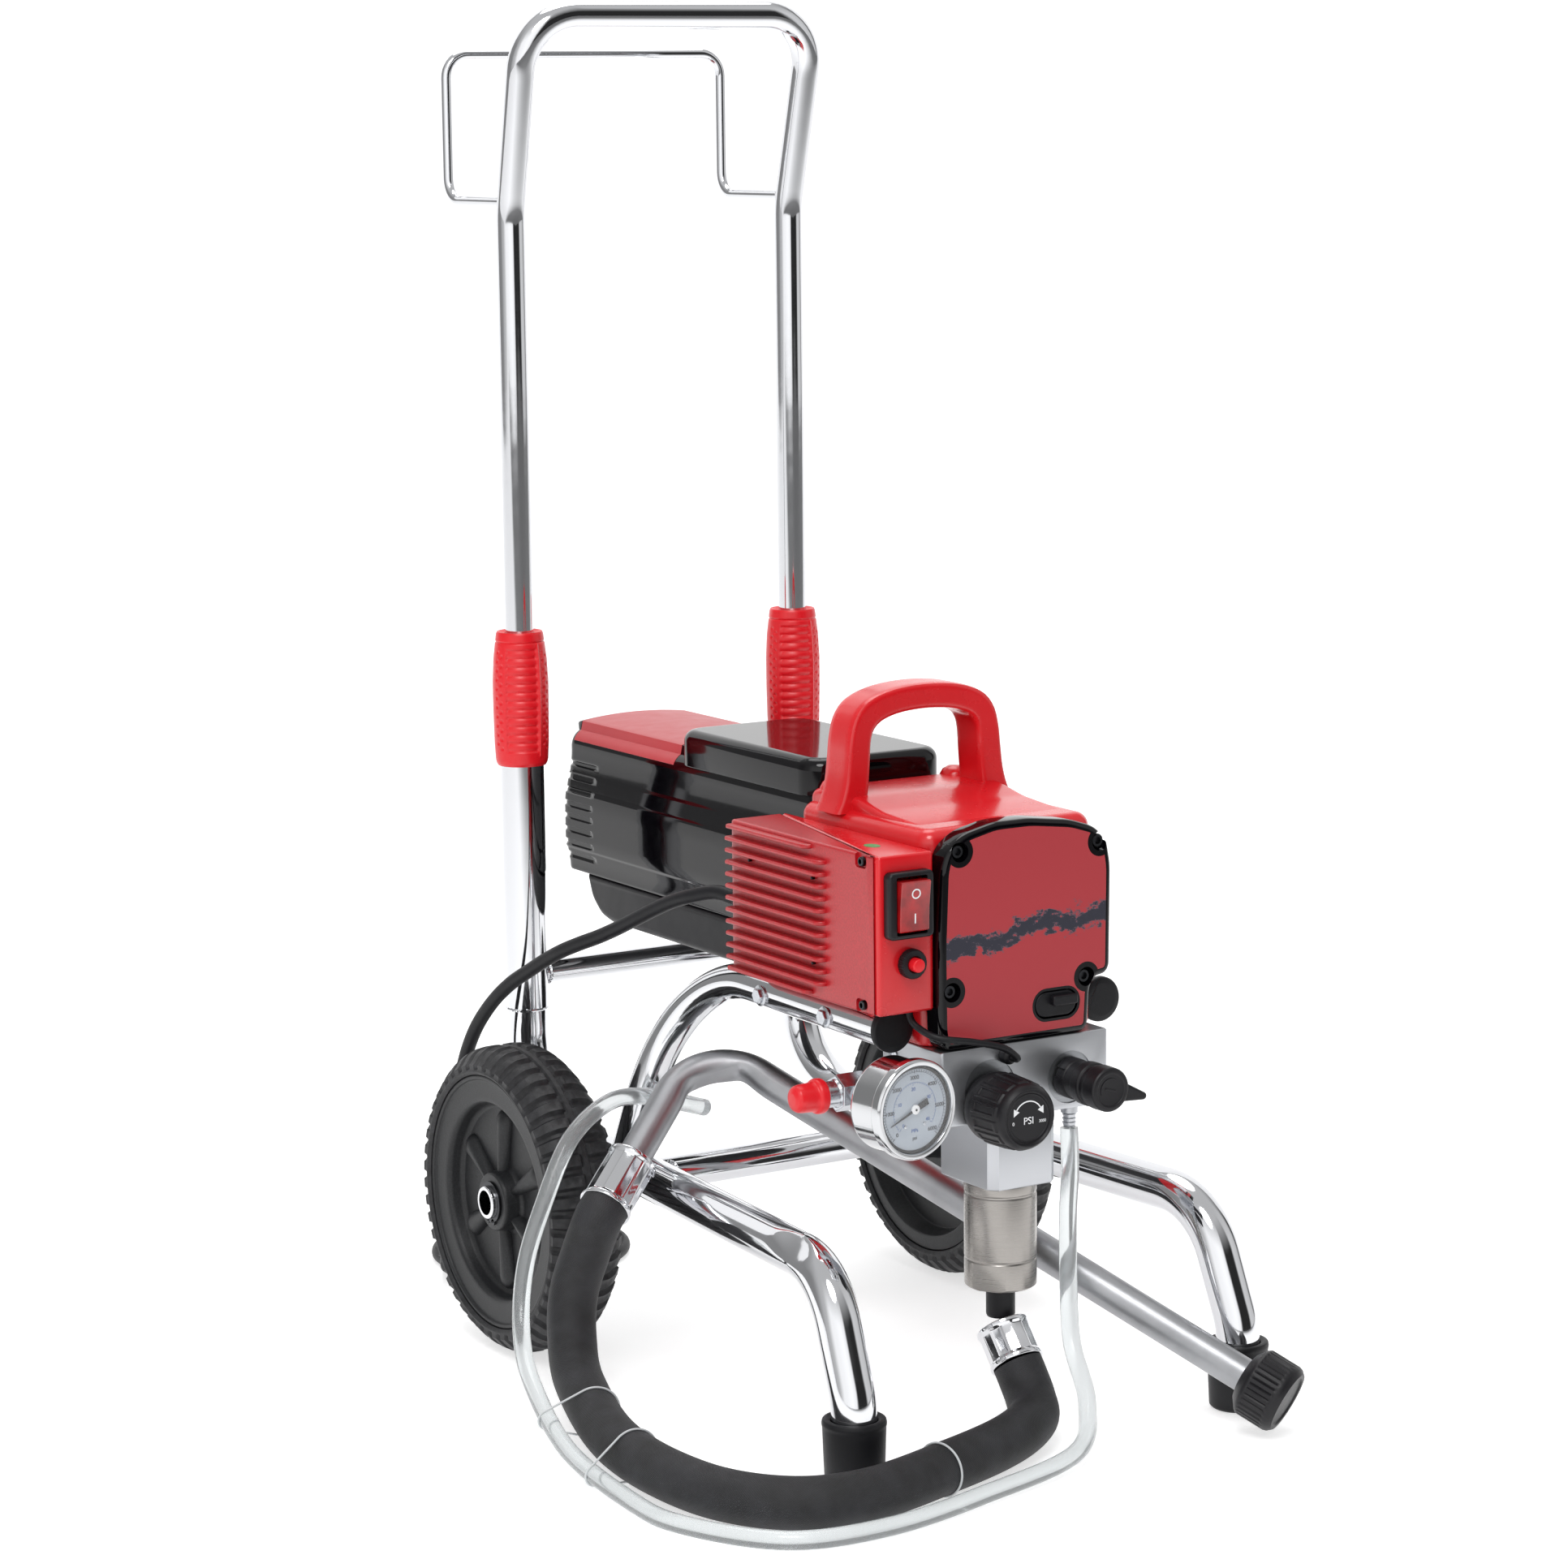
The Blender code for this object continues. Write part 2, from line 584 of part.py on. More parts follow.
wrist = pivot("wrist_pivot", (0, pumpY, wristZ), ALONG_FRONT)
eyeZ = crankZ + crankThrow
rod = outline("connecting_rod", [arc(0, wristZ, 0.0062, 200, 340, 6) + arc(0, eyeZ, 0.0095, -20, 200, 10)], 0.0090, "iron",
              (0, pumpY, 0), ALONG_FRONT)
hang(rod, wrist)

# Pump block: wide manifold above, narrow body below, cylinder under it
block = box("pump_block", (-blockHalfX, blockFront, blockStep), (blockHalfX, blockFront + blockDepth, blockTop), "aluminium")
soften(block, 0.0020, 1)
neck = box("block_neck", (-lowHalfX, blockFront + 0.0004, lowBottom), (lowHalfX, blockFront + lowDepth, blockStep + 0.02), cutter=True, bevel=0.005, segments=2)
rodBore = cylinder("rod_bore", rodD / 2 + run, 0.14, at=(0, pumpY, blockTop + 0.01 - 0.07), sides=28, cutter=True)
lowBore = cylinder("low_bore", rodD / 2 + 0.004, 0.05, at=(0, pumpY, lowBottom + 0.015), sides=28, cutter=True)
barb = turned("drain_barb_form", [(0, blockStep + 0.004), (0.0060, blockStep + 0.004), (0.0060, blockStep - 0.005), (0.0042, blockStep - 0.006),
                                  (0.0048, blockStep - barbL), (0, blockStep - barbL)], at=(barbX, barbY, 0), steps=20, cutter=True)
join(block, neck, barb)
rodRelief = cylinder("rod_relief", rodD / 2 + 0.005, 2 * (blockTop - wristZ + crankThrow * 2 + 0.004), at=(0, pumpY, blockTop),
                     sides=24, cutter=True)
cut(block, rodBore, lowBore, rodRelief)
cyl = turned("inlet_housing", [(0, cylinderFloor), (rodD / 2 + 0.004, cylinderFloor), (rodD / 2 + 0.004, lowBottom - gap), (cylinderD / 2 - 0.001, lowBottom - gap),
                               (cylinderD / 2, lowBottom - 0.0015), (cylinderD / 2, cylinderBottom + 0.001), (cylinderD / 2 - 0.001, cylinderBottom),
                               (0, cylinderBottom)], "steel", (0, pumpY, 0), steps=28)
for i, angle in enumerate((215, 35)):
    a = radians(angle)
    flat = box("wrench_flat_%d" % i, (-0.03, -0.01, -0.02), (0.03, 0.01, 0.02), cutter=True)
    flat.location = ((cylinderD / 2 + 0.0068) * cos(a), pumpY + (cylinderD / 2 + 0.0068) * sin(a), cylinderBottom + 0.0)
    flat.rotation_euler = (0, 0, a + pi / 2)
    cut(cyl, flat)

# Suction stub and the tilted lower ferrule
ferruleAxis = Vector((0, -sin(ferruleTilt), -cos(ferruleTilt)))
ferruleTopAt = Vector((0, pumpY - 0.002, ferruleTopZ))
stubBottom = ferruleTopZ + (stubD / 2 - 0.002) * np.tan(ferruleTilt) + gap
cylinder("suction_stub", stubD / 2, cylinderBottom - gap - stubBottom, "rubber", (0, pumpY, (cylinderBottom - gap + stubBottom) / 2), sides=24)
cylinder("lower_ferrule", ferruleD / 2, ferruleL, "chrome", ferruleTopAt + ferruleAxis * ferruleL / 2,
         ferruleAxis.to_track_quat('Z', 'Y').to_euler(), 24)

# Outlet fitting, its cap, and the gauge
fitting = turned("outlet_fitting", [(0, 0.1450), (0.0095, 0.1450), (0.0095, 0.1370), (0.0135, 0.1360), (0.0135, 0.1120),
                                    (0.0095, 0.1110), (0.0095, 0.0850), (0.0125, 0.0840), (0.0125, blockHalfX + gap), (0, blockHalfX + gap)],
                 "chrome", (0, fittingY, fittingZ), ALONG_MINUS_X, 24)
gx, gy = gaugeX, fittingY
turnG = (pi / 2, 0, gaugeTurn)
stem = cylinder("gauge_stem_form", 0.0075, gaugeNear - gap - 0.004, at=(gx + sin(gaugeTurn) * (gaugeNear - gap + 0.004) / 2, gy - cos(gaugeTurn) * (gaugeNear - gap + 0.004) / 2, fittingZ),
                turn=turnG, sides=20, cutter=True)
join(fitting, stem)
turned("outlet_cap", [(0, 0.1705), (0.0095, 0.1705), (0.0110, 0.1690), (0.0112, 0.1540), (capPlugD / 2, 0.1525), (capPlugD / 2, 0.1465),
                      (0.0110, 0.1453), (0, 0.1453)], "grip", (0, fittingY, fittingZ), ALONG_MINUS_X, 24)
gaugeCase = turned("gauge_case", [(0, gaugeFar - 0.0040), (bezelRingD / 2 - 0.0060, gaugeFar - 0.0040), (bezelRingD / 2 - 0.0050, gaugeFar), (bezelRingD / 2 - 0.0015, gaugeFar),
                                  (bezelRingD / 2, gaugeFar - 0.0015), (bezelRingD / 2, gaugeFar - 0.0075), (gaugeD / 2, gaugeFar - 0.0080),
                                  (gaugeD / 2, gaugeNear + 0.002), (gaugeD / 2 - 0.002, gaugeNear), (0, gaugeNear)], "chrome",
                   (gx, gy, fittingZ), turnG, 28)
needle = pivot("needle_pivot", (gx + sin(gaugeTurn) * gaugeFar, gy - cos(gaugeTurn) * gaugeFar, fittingZ), turnG)
hand = outline("gauge_needle", [[(-0.0006, 0.022), (-0.0011, 0.002), (-0.0022, -0.003), (-0.0022, -0.010), (0.0022, -0.010), (0.0022, -0.003), (0.0011, 0.002), (0.0006, 0.022)]],
               0.0008, "rubber", (gx + sin(gaugeTurn) * (gaugeFar - 0.0032), gy - cos(gaugeTurn) * (gaugeFar - 0.0032), fittingZ), turnG)
hand.rotation_euler = (pi / 2, radians(0), gaugeTurn)
hub = cylinder("needle_hub_form", 0.0030, 0.0012, at=(gx + sin(gaugeTurn) * (gaugeFar - 0.0031), gy - cos(gaugeTurn) * (gaugeFar - 0.0031), fittingZ), turn=turnG, sides=16, cutter=True)
join(hand, hub)
bpy.context.view_layer.update()
spinNeedle = Matrix.Translation(needle.matrix_world.translation) @ needle.matrix_world.to_3x3().to_4x4() @ Matrix.Rotation(radians(112), 4, 'Z') \
    @ needle.matrix_world.to_3x3().to_4x4().inverted() @ Matrix.Translation(-needle.matrix_world.translation)
hand.matrix_world = spinNeedle @ hand.matrix_world
hang(hand, needle)

# Pressure knob
turnKnob = pivot("pressure_knob_pivot", (knobX, blockFront, knobZ), ALONG_FRONT)
knob = turned("pressure_knob", [(0, knobL), (0.0215, knobL), (0.0235, knobL - 0.003), (knobD / 2 - 0.0005, 0.020), (knobD / 2, 0.010), (knobD / 2 - 0.003, gap), (0, gap)],
              "black", (knobX, blockFront, knobZ), ALONG_FRONT, 24)
hang(knob, turnKnob)
turned("pressure_sensor", [(0, 0.0095), (0.0035, 0.0095), (0.0055, 0.0075), (0.0055, gap), (0, gap)], "black", (sensorX, blockFront, sensorZ), ALONG_FRONT, 20)

# Prime valve: fixed body, turning knob with its lever, and the drain spout
body = turned("prime_valve_body", [(0, 0.020), (0.0135, 0.020), (0.0135, 0.012), (0.0145, 0.010), (0.0145, gap), (0, gap)], "black",
              (valveX, blockFront, valveZ), ALONG_FRONT, 28)
turnValve = pivot("prime_knob_pivot", (valveX, blockFront, valveZ), ALONG_FRONT)
dial = outline("prime_knob", [arc(0, 0, valveD / 2, 22, 338, 22) + [(valveD / 2 + 0.004, -0.0035), (leverL, -0.0022), (leverL + 0.001, 0.0), (leverL, 0.0022), (valveD / 2 + 0.004, 0.0035)]],
               valveL - 0.0205, "black", (valveX, blockFront - (valveL + 0.0205) / 2, valveZ), ALONG_FRONT)
lever = radians(-16)
dial.rotation_euler = (pi / 2, -lever, 0)
soften(dial, 0.0015, 1, 50)
hang(dial, turnValve)

# Control box with its heat sink, split on the diagonal
inner = housingHalfX + gap
backIn, frontOut = (-inner - 0.004, boxRear), (-boxOuter + 0.0008, boxFront)
boxPlan = [(-inner, boxRear + 0.0), backIn, (frontOut[0], boxFront + 0.006), (frontOut[0], boxFront), (-inner, boxFront)]
case = outline("control_box", [boxPlan], boxTop - boxBottom, "red", (0, 0, (boxTop + boxBottom) / 2))
soften(case, 0.0025, 1, 60)
pocketRocker = box("rocker_pocket", (bezelX - rockerW / 2 - 0.0035, boxFront - 0.01, bezelZ - rockerH / 2 - 0.0035),
                   (bezelX + rockerW / 2 + 0.0035, boxFront + 0.024, bezelZ + rockerH / 2 + 0.0035), cutter=True)
pocketBreaker = cylinder("breaker_pocket", buttonD / 2 + run, 0.05, at=(breakerX, boxFront, breakerZ), turn=ALONG_FRONT, sides=24, cutter=True)
cut(case, pocketRocker, pocketBreaker)
sinkPlan = [(backIn[0] - gap * 1.5, boxRear + gap), (-boxOuter, boxRear + gap), (-boxOuter - 0.0015, boxRear - 0.004), (-boxOuter - 0.0015, finFront - 0.010),
            (frontOut[0] - 0.0012, boxFront + 0.004), (frontOut[0] - gap * 2, boxFront + 0.0075)]
sink = outline("heat_sink", [sinkPlan], boxTop - boxBottom, "red", (0, 0, (boxTop + boxBottom) / 2))
finPitch = (boxTop - boxBottom - 0.010) / (finCount - 1)
comb = []
for i in range(finCount):
    z = boxBottom + 0.005 + i * finPitch
    comb += [(-boxOuter + 0.004 if i == 0 else -boxOuter - 0.001, z - finT / 2), (-boxOuter - finProud, z - finT * 0.35), (-boxOuter - finProud, z + finT * 0.35),
             (-boxOuter - 0.001, z + finT / 2)]
comb = [(-boxOuter + 0.006, comb[0][1])] + comb + [(-boxOuter + 0.006, boxTop - 0.003)]
fins = outline("fins_form", [comb], finRear - finFront, None, (0, (finRear + finFront) / 2, 0), ALONG_FRONT, True)
join(sink, fins)

# Switch and breaker
bezelPlan = [roundRect(bezelX, bezelZ, bezelW, bezelH, 0.003, 2), roundRect(bezelX, bezelZ, rockerW + 0.002, rockerH + 0.0045, 0.001, 1)]
outline("switch_bezel", bezelPlan, bezelT - gap, "black", (0, boxFront - gap - (bezelT - gap) / 2, 0), ALONG_FRONT)
rock = pivot("rocker_pivot", (bezelX, boxFront, bezelZ), ALONG_X)
side = [(-0.0115, 0.0), (-0.0135, rockerH / 2 - 0.0008), (-0.0075, rockerH / 2)] + arc(0, 0, rockerH / 2, 70, -70, 10) + [(-0.0075, -rockerH / 2), (-0.0105, -rockerH / 2 + 0.0008)]
outline("rocker", [side], rockerW, "grip", (bezelX, boxFront - 0.0005, bezelZ), SIDE_PLATE)
hang(bpy.data.objects["rocker"], rock)
ring("breaker_collar", breakerD / 2, buttonD / 2 + run, gap, 0.0065, "black", (breakerX, boxFront, breakerZ), ALONG_FRONT, 28)
push = pivot("breaker_pivot", (breakerX, boxFront, breakerZ), ALONG_FRONT)
hang(turned("breaker_button", [(0, 0.0125), (buttonD / 2 - 0.001, 0.0125), (buttonD / 2, 0.0115), (buttonD / 2, -0.014), (0, -0.014)], "grip",
            (breakerX, boxFront, breakerZ), ALONG_FRONT, 20), push)

# Lead from the control box to the pressure sensor
tube("sensor_lead", smooth([(-0.0860, -0.3730, boxBottom - gap), (-0.0860, -0.3730, 0.3125), (-0.0845, -0.3790, 0.3060), (-0.0780, -0.3960, 0.3000), (-0.0550, -0.4060, 0.2960),
                            (-0.0330, -0.4090, 0.2900), (-0.0210, -0.4085, 0.2820), (sensorX, -0.4050, sensorZ), (sensorX, blockFront - 0.0095 - gap, sensorZ)], 0.005), 0.0026, "rubber", 2)

# Mains lead: gland, free length, coil and plug
glandX, glandZ = -0.1020, 0.3650
gland = turned("cord_gland", [(0, 0.020), (mainsD / 2 + 0.0015, 0.020), (mainsD / 2 + 0.0045, 0.004), (mainsD / 2 + 0.0045, 2 * gap), (0, 2 * gap)], "rubber",
               (glandX, boxRear, glandZ), (-pi / 2, 0, 0), 20)
leadKnots = [(glandX, boxRear + 0.020 + gap, glandZ), (glandX, boxRear + 0.027, glandZ), (-0.1080, -0.1500, 0.3675), (-0.1180, -0.1270, 0.3620), (-0.1250, -0.1000, 0.3520), (-0.1400, -0.0410, 0.3230),
             (-0.1530, 0.0040, 0.3040), (-0.1600, 0.0400, 0.2850), (-0.1690, 0.0800, 0.2590), (-0.1740, 0.1180, 0.2200), (-0.1760, 0.1420, 0.1700),
             (-0.1760, 0.1560, 0.1100), (-0.1730, 0.1680, 0.0550), (-0.1680, 0.1860, 0.0190), (-0.1560, 0.2080, 0.0075), (-0.1480, 0.2230, 0.0061), (coilX - coilD / 2 - mainsD / 2 - gap, coilY + 0.006, 0.0061)]
tube("mains_lead", smooth(leadKnots, 0.022), mainsD / 2, "rubber", 2)
cr = coilD / 2
ring("mains_coil", cr, cr - 0.036, 0.0004, coilH, "rubber", (coilX, coilY, 0), steps=28)
turned("mains_plug", [(0, 0.056), (0.0165, 0.056), (0.0185, 0.053), (0.0185, 0.030), (0.0120, 0.016), (0.0075, 0.012), (0.0070, 0), (0, 0)], "rubber",
       (coilX - 0.028, coilY - 0.054, coilH + gap + 0.0188), ALONG_X, 24)

# Suction hose, from the lower ferrule round the front foot and up to the upper ferrule
corner = Vector((-0.0920, -0.0975, 0.2450))
strainerEnd = Vector((0.1350, -0.4680, 0.0400))
hoseTop = Vector((-0.2120, -0.1580, 0.1460))
down = (corner - strainerEnd).normalized()
out = (hoseTop - corner).normalized()
ferruleTop = hoseTop - out * 0.046
hoseFoot = ferruleTopAt + ferruleAxis * ferruleL
hoseKnots = [tuple(hoseFoot + ferruleAxis * gap), tuple(hoseFoot + ferruleAxis * 0.010), (-0.0030, -0.4000, 0.0290), (-0.0140, -0.4180, 0.0215), (-0.0520, -0.4420, 0.0192),
             (-0.1120, -0.4640, 0.0187), (-0.1950, -0.4850, 0.0186), (-0.2500, -0.4680, 0.0186), (-0.2820, -0.4080, 0.0186), (-0.2850, -0.3060, 0.0210), (-0.2600, -0.2050, 0.0330),
             (-0.2430, -0.1620, 0.0560), (-0.2340, -0.1500, 0.0850), (-0.2240, -0.1520, 0.1150)]
hoseKnots += [tuple(hoseTop + out * 0.010), tuple(hoseTop + out * gap)]
tube("suction_hose", smooth(hoseKnots, 0.026), hoseD / 2, "rubber", 3)
aim = out.to_track_quat('Z', 'Y').to_euler()
cylinder("upper_ferrule", ferruleD / 2, 0.046 - gap, "chrome", hoseTop - out * 0.023, aim, 24)
tube("suction_tube", filleted([strainerEnd, (*corner, 0.045), ferruleTop - out * gap]), tubeD / 2, "aluminium", 4)
aim = (-down).to_track_quat('Z', 'Y').to_euler()
turned("strainer", [(0, strainerL), (strainerD / 2 - 0.004, strainerL), (strainerD / 2, strainerL - 0.005), (strainerD / 2, 0.006), (strainerD / 2 - 0.008, gap), (0, gap)], "black",
       strainerEnd, aim, 28)

# Return tube, clear
returnKnots = [(barbX, barbY, blockStep - barbL - gap), (0.0460, -0.3790, 0.1850), (0.0450, -0.3780, 0.1500), (0.0440, -0.3800, 0.1000), (0.0400, -0.3900, 0.0600),
               (0.0260, -0.4280, 0.0280), (-0.0160, -0.4720, 0.0110), (-0.1120, -0.5000, 0.0072), (-0.2000, -0.5180, 0.0070), (-0.2700, -0.5040, 0.0070), (-0.3120, -0.4400, 0.0070),
               (-0.3180, -0.3800, 0.0075), (-0.3120, -0.2800, 0.0150), (-0.2920, -0.1900, 0.0380), (-0.2780, -0.1500, 0.0650), (-0.2640, -0.1320, 0.1050), (-0.2470, -0.1280, 0.1450),
               (-0.2150, -0.1130, 0.1880), (-0.1720, -0.0950, 0.2070), (-0.1350, -0.0860, 0.2050), (-0.1000, -0.0800, 0.1940), (-0.0750, -0.0700, 0.1850)]
tube("return_tube", smooth(returnKnots, 0.030), returnD / 2, "clear", 2)

# Everything moves so that the origin is under the middle of the machine
for obj in parts.objects:
    if obj.parent is None:
        obj.location.y += frontShift
for obj in cutters.objects:
    obj.location.y += frontShift
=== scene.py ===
import bpy
import math
import numpy as np
from mathutils import Matrix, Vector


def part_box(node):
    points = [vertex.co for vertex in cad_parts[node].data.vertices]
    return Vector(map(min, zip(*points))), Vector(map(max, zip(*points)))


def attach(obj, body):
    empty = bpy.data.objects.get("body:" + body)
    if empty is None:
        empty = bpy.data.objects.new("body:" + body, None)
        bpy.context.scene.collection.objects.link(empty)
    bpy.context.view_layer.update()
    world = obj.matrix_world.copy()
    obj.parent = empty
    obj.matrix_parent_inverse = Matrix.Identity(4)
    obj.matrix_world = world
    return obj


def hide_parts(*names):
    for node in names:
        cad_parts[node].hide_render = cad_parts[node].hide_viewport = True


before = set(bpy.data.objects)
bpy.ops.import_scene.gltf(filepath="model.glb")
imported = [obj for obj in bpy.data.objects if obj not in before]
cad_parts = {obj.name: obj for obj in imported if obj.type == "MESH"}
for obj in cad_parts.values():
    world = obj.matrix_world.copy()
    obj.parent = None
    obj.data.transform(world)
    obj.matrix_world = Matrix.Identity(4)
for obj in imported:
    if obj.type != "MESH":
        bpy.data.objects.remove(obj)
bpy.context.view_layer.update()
print("frame loaded:", len(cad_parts), "nodes")


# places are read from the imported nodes
def low(node):
    return np.array(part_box(node)[0])


def high(node):
    return np.array(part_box(node)[1])


def centre(node):
    return (low(node) + high(node)) / 2


axleY, axleZ = centre("axle")[1:]
blockFrontY = low("pump_block")[1]
sides = (("left", -1), ("right", 1))


def at(x, y, z):
    # a point whose y is measured from the axle, as the routes and bends below are
    return np.array([x, y + axleY, z])


# each shape is (points, faces), worked out as whole arrays
def quadGrid(rows, cols, closeRows=False, closeCols=True):
    # faces of a grid whose rows run along the piece and whose columns run round it
    i, j = np.meshgrid(np.arange(rows if closeRows else rows - 1),
        np.arange(cols if closeCols else cols - 1), indexing="ij")
    up, right = (i + 1) % rows, (j + 1) % cols
    return np.stack([i * cols + j, i * cols + right, up * cols + right, up * cols + j], -1).reshape(-1, 4)


def circle(radius, count=32, start=0.0):
    a = start + np.arange(count) * 2 * math.pi / count
    return np.stack([radius * np.cos(a), radius * np.sin(a)], -1)


def arc(x, y, radius, start, end, steps=6):
    a = np.radians(np.linspace(start, end, steps + 1))
    return [(x + radius * math.cos(v), y + radius * math.sin(v)) for v in a]


def roundRect(width, height, radius, x=0.0, y=0.0, steps=5):
    # a rectangle with quarter-circle corners, counter-clockwise
    w, h = width / 2 - radius, height / 2 - radius
    return np.array(arc(x + w, y + h, radius, 0, 90, steps) + arc(x - w, y + h, radius, 90, 180, steps)
                    + arc(x - w, y - h, radius, 180, 270, steps) + arc(x + w, y - h, radius, 270, 360, steps))


def revolve(profile, steps=64, shape=None):
    # (radius, height) pairs from the bottom up on the outer side, carried round Z; a zero radius is a pole
    # shape(angle, radius, height) gives the radius where it varies round the piece
    p = np.array(profile, float)
    bottomPole, topPole = p[0, 0] < 1e-9, p[-1, 0] < 1e-9
    closed = not (bottomPole or topPole)
    body = p[1 if bottomPole else 0:len(p) - 1 if topPole else len(p)]
    angle = np.arange(steps)[None, :] * 2 * math.pi / steps
    r, z = body[:, :1] + 0 * angle, body[:, 1:] + 0 * angle
    if shape:
        r = shape(angle + 0 * r, r, z)
    points = np.stack([r * np.cos(angle), r * np.sin(angle), z], -1).reshape(-1, 3)
    faces = [quadGrid(len(body), steps, closed)]
    ring = np.arange(steps)
    if bottomPole:
        points = np.vstack([points, [0, 0, p[0, 1]]])
        faces.append(np.stack([np.full(steps, len(points) - 1), (ring + 1) % steps, ring], -1))
    if topPole:
        points = np.vstack([points, [0, 0, p[-1, 1]]])
        last = (len(body) - 1) * steps
        faces.append(np.stack([np.full(steps, len(points) - 1), last + ring, last + (ring + 1) % steps], -1))
    return points, faces


def softened(profile, radius, steps=4):
    # rounds each inner corner of a profile with a curve through points this far before and after it
    p = np.array(profile, float)
    made = [p[0]]
    for before, corner, after in zip(p, p[1:], p[2:]):
        a, b = before - corner, after - corner
        la, lb = np.linalg.norm(a), np.linalg.norm(b)
        reach = min(radius, la / 2.05, lb / 2.05)
        start, end = corner + a / la * reach, corner + b / lb * reach
        t = np.linspace(0, 1, steps + 1)[:, None]
        made += list((1 - t) ** 2 * start + 2 * t * (1 - t) * corner + t ** 2 * end)
    return np.array(made + [p[-1]])


def framesAlong(path):
    # the tangent at each point, and two cross directions that turn as little as possible along the path
    p = np.asarray(path, float)
    t = np.gradient(p, axis=0)
    t /= np.linalg.norm(t, axis=1)[:, None]
    side = np.cross(t[0], (0, 0, 1)) if abs(t[0][2]) < 0.95 else np.cross(t[0], (0, 1, 0))
    n = [side / np.linalg.norm(side)]
    for tangent in t[1:]:
        turned = n[-1] - tangent * (n[-1] @ tangent)
        n.append(turned / np.linalg.norm(turned))
    n = np.array(n)
    return t, n, np.cross(t, n)


def sweep(path, section, caps=True, scale=None, edge=0.0):
    # a closed section carried along a path: point = path + scale * (x * first cross direction + y * second)
    p, s = np.asarray(path, float), np.asarray(section, float)
    scale = np.ones(len(p)) if scale is None else np.asarray(scale, float)
    if edge:
        # rounded ends: the section shrinks by the edge radius along a quarter circle
        size = np.abs(s).max()
        q = np.sin(np.linspace(0, math.pi / 2, 5))
        heads, tails = p[0] - p[1], p[-1] - p[-2]
        heads, tails = heads / np.linalg.norm(heads), tails / np.linalg.norm(tails)
        drop = edge * (1 - np.sqrt(1 - q[::-1] ** 2))
        front = [p[0] - heads * edge * (1 - v) for v in q[::-1]]
        back = [p[-1] - tails * edge * (1 - v) for v in q]
        p = np.vstack([front, p[1:-1], back])
        scale = np.concatenate([scale[0] * (1 - drop / size), scale[1:-1],
            scale[-1] * (1 - drop[::-1] / size)])
    _, n, b = framesAlong(p)
    grid = p[:, None] + scale[:, None, None] * (s[None, :, :1] * n[:, None] + s[None, :, 1:] * b[:, None])
    rows, cols = grid.shape[:2]
    faces = [quadGrid(rows, cols)]
    if caps:
        faces += [np.arange(cols)[::-1][None], ((rows - 1) * cols + np.arange(cols))[None]]
    return grid.reshape(-1, 3), faces


def inset(outline, distance):
    # each point of a counter-clockwise outline moved inwards, square to its two neighbours
    p = np.asarray(outline, float)
    before, after = p - np.roll(p, 1, 0), np.roll(p, -1, 0) - p
    before /= np.linalg.norm(before, axis=1)[:, None]
    after /= np.linalg.norm(after, axis=1)[:, None]
    inward = np.stack([-(before + after)[:, 1], (before + after)[:, 0]], -1)
    inward /= np.linalg.norm(inward, axis=1)[:, None]
    miter = np.clip((inward * np.stack([-after[:, 1], after[:, 0]], -1)).sum(1), 0.5, 1)
    return p + inward * (distance / miter)[:, None]


def slab(outline, bottom, top, edge=0.001, steps=3, bottomEdge=None):
    # a flat outline given thickness along Z, with quarter-round edges
    bottomEdge = edge if bottomEdge is None else bottomEdge
    a = np.linspace(0, math.pi / 2, steps + 1)
    rows = [(bottomEdge * (1 - math.sin(v)), bottom + bottomEdge * (1 - math.cos(v))) for v in a]
    rows += [(edge * (1 - math.cos(v)), top - edge * (1 - math.sin(v))) for v in a]
    rows = [(bottomEdge + 0.0002, bottom)] + rows + [(edge + 0.0002, top)]
    rings = [np.column_stack([inset(outline, d), np.full(len(outline), z)]) for d, z in rows]
    count = len(outline)
    points = np.vstack(rings)
    last = (len(rings) - 1) * count + np.arange(count)
    return points, [quadGrid(len(rings), count), np.arange(count)[::-1][None], last[None]]


def axes(x, y, z, origin=(0, 0, 0)):
    # a placement whose columns are where the local directions go
    return np.array(x, float), np.array(y, float), np.array(z, float), np.array(origin, float)


def facing(origin, turn=0.0):
    # local Z to the front of the machine (-Y), local X to +X, local Y up, turned about Z
    c, s = math.cos(turn), math.sin(turn)
    return axes((c, s, 0), (0, 0, 1), (s, -c, 0), origin)


def leftward(origin):
    # local Z to -X, local X to +Y, local Y up
    return axes((0, -1, 0), (0, 0, 1), (-1, 0, 0), origin)


def rightward(origin):
    return axes((0, 1, 0), (0, 0, 1), (1, 0, 0), origin)


def along(origin, direction):
    # local Z along a direction
    z = np.array(direction, float) / np.linalg.norm(direction)
    x = np.cross((0, 0, 1), z) if abs(z[2]) < 0.95 else np.array([1.0, 0, 0])
    x = x / np.linalg.norm(x)
    return axes(x, np.cross(z, x), z, origin)


def placed(shape, to):
    points, faces = shape
    x, y, z, origin = to
    return points @ np.stack([x, y, z]) + origin, faces


def spun(shape, angle, about=(0, 0)):
    # turned about local Z
    points, faces = shape
    c, s = math.cos(angle), math.sin(angle)
    offset = np.array([about[0], about[1], 0])
    return (points - offset) @ np.array([[c, s, 0], [-s, c, 0], [0, 0, 1]]) + offset, faces


def merged(shapes):
    points, faces, count = [], [], 0
    for p, f in shapes:
        points.append(p)
        faces += [np.asarray(part) + count for part in f]
        count += len(p)
    return np.vstack(points), faces


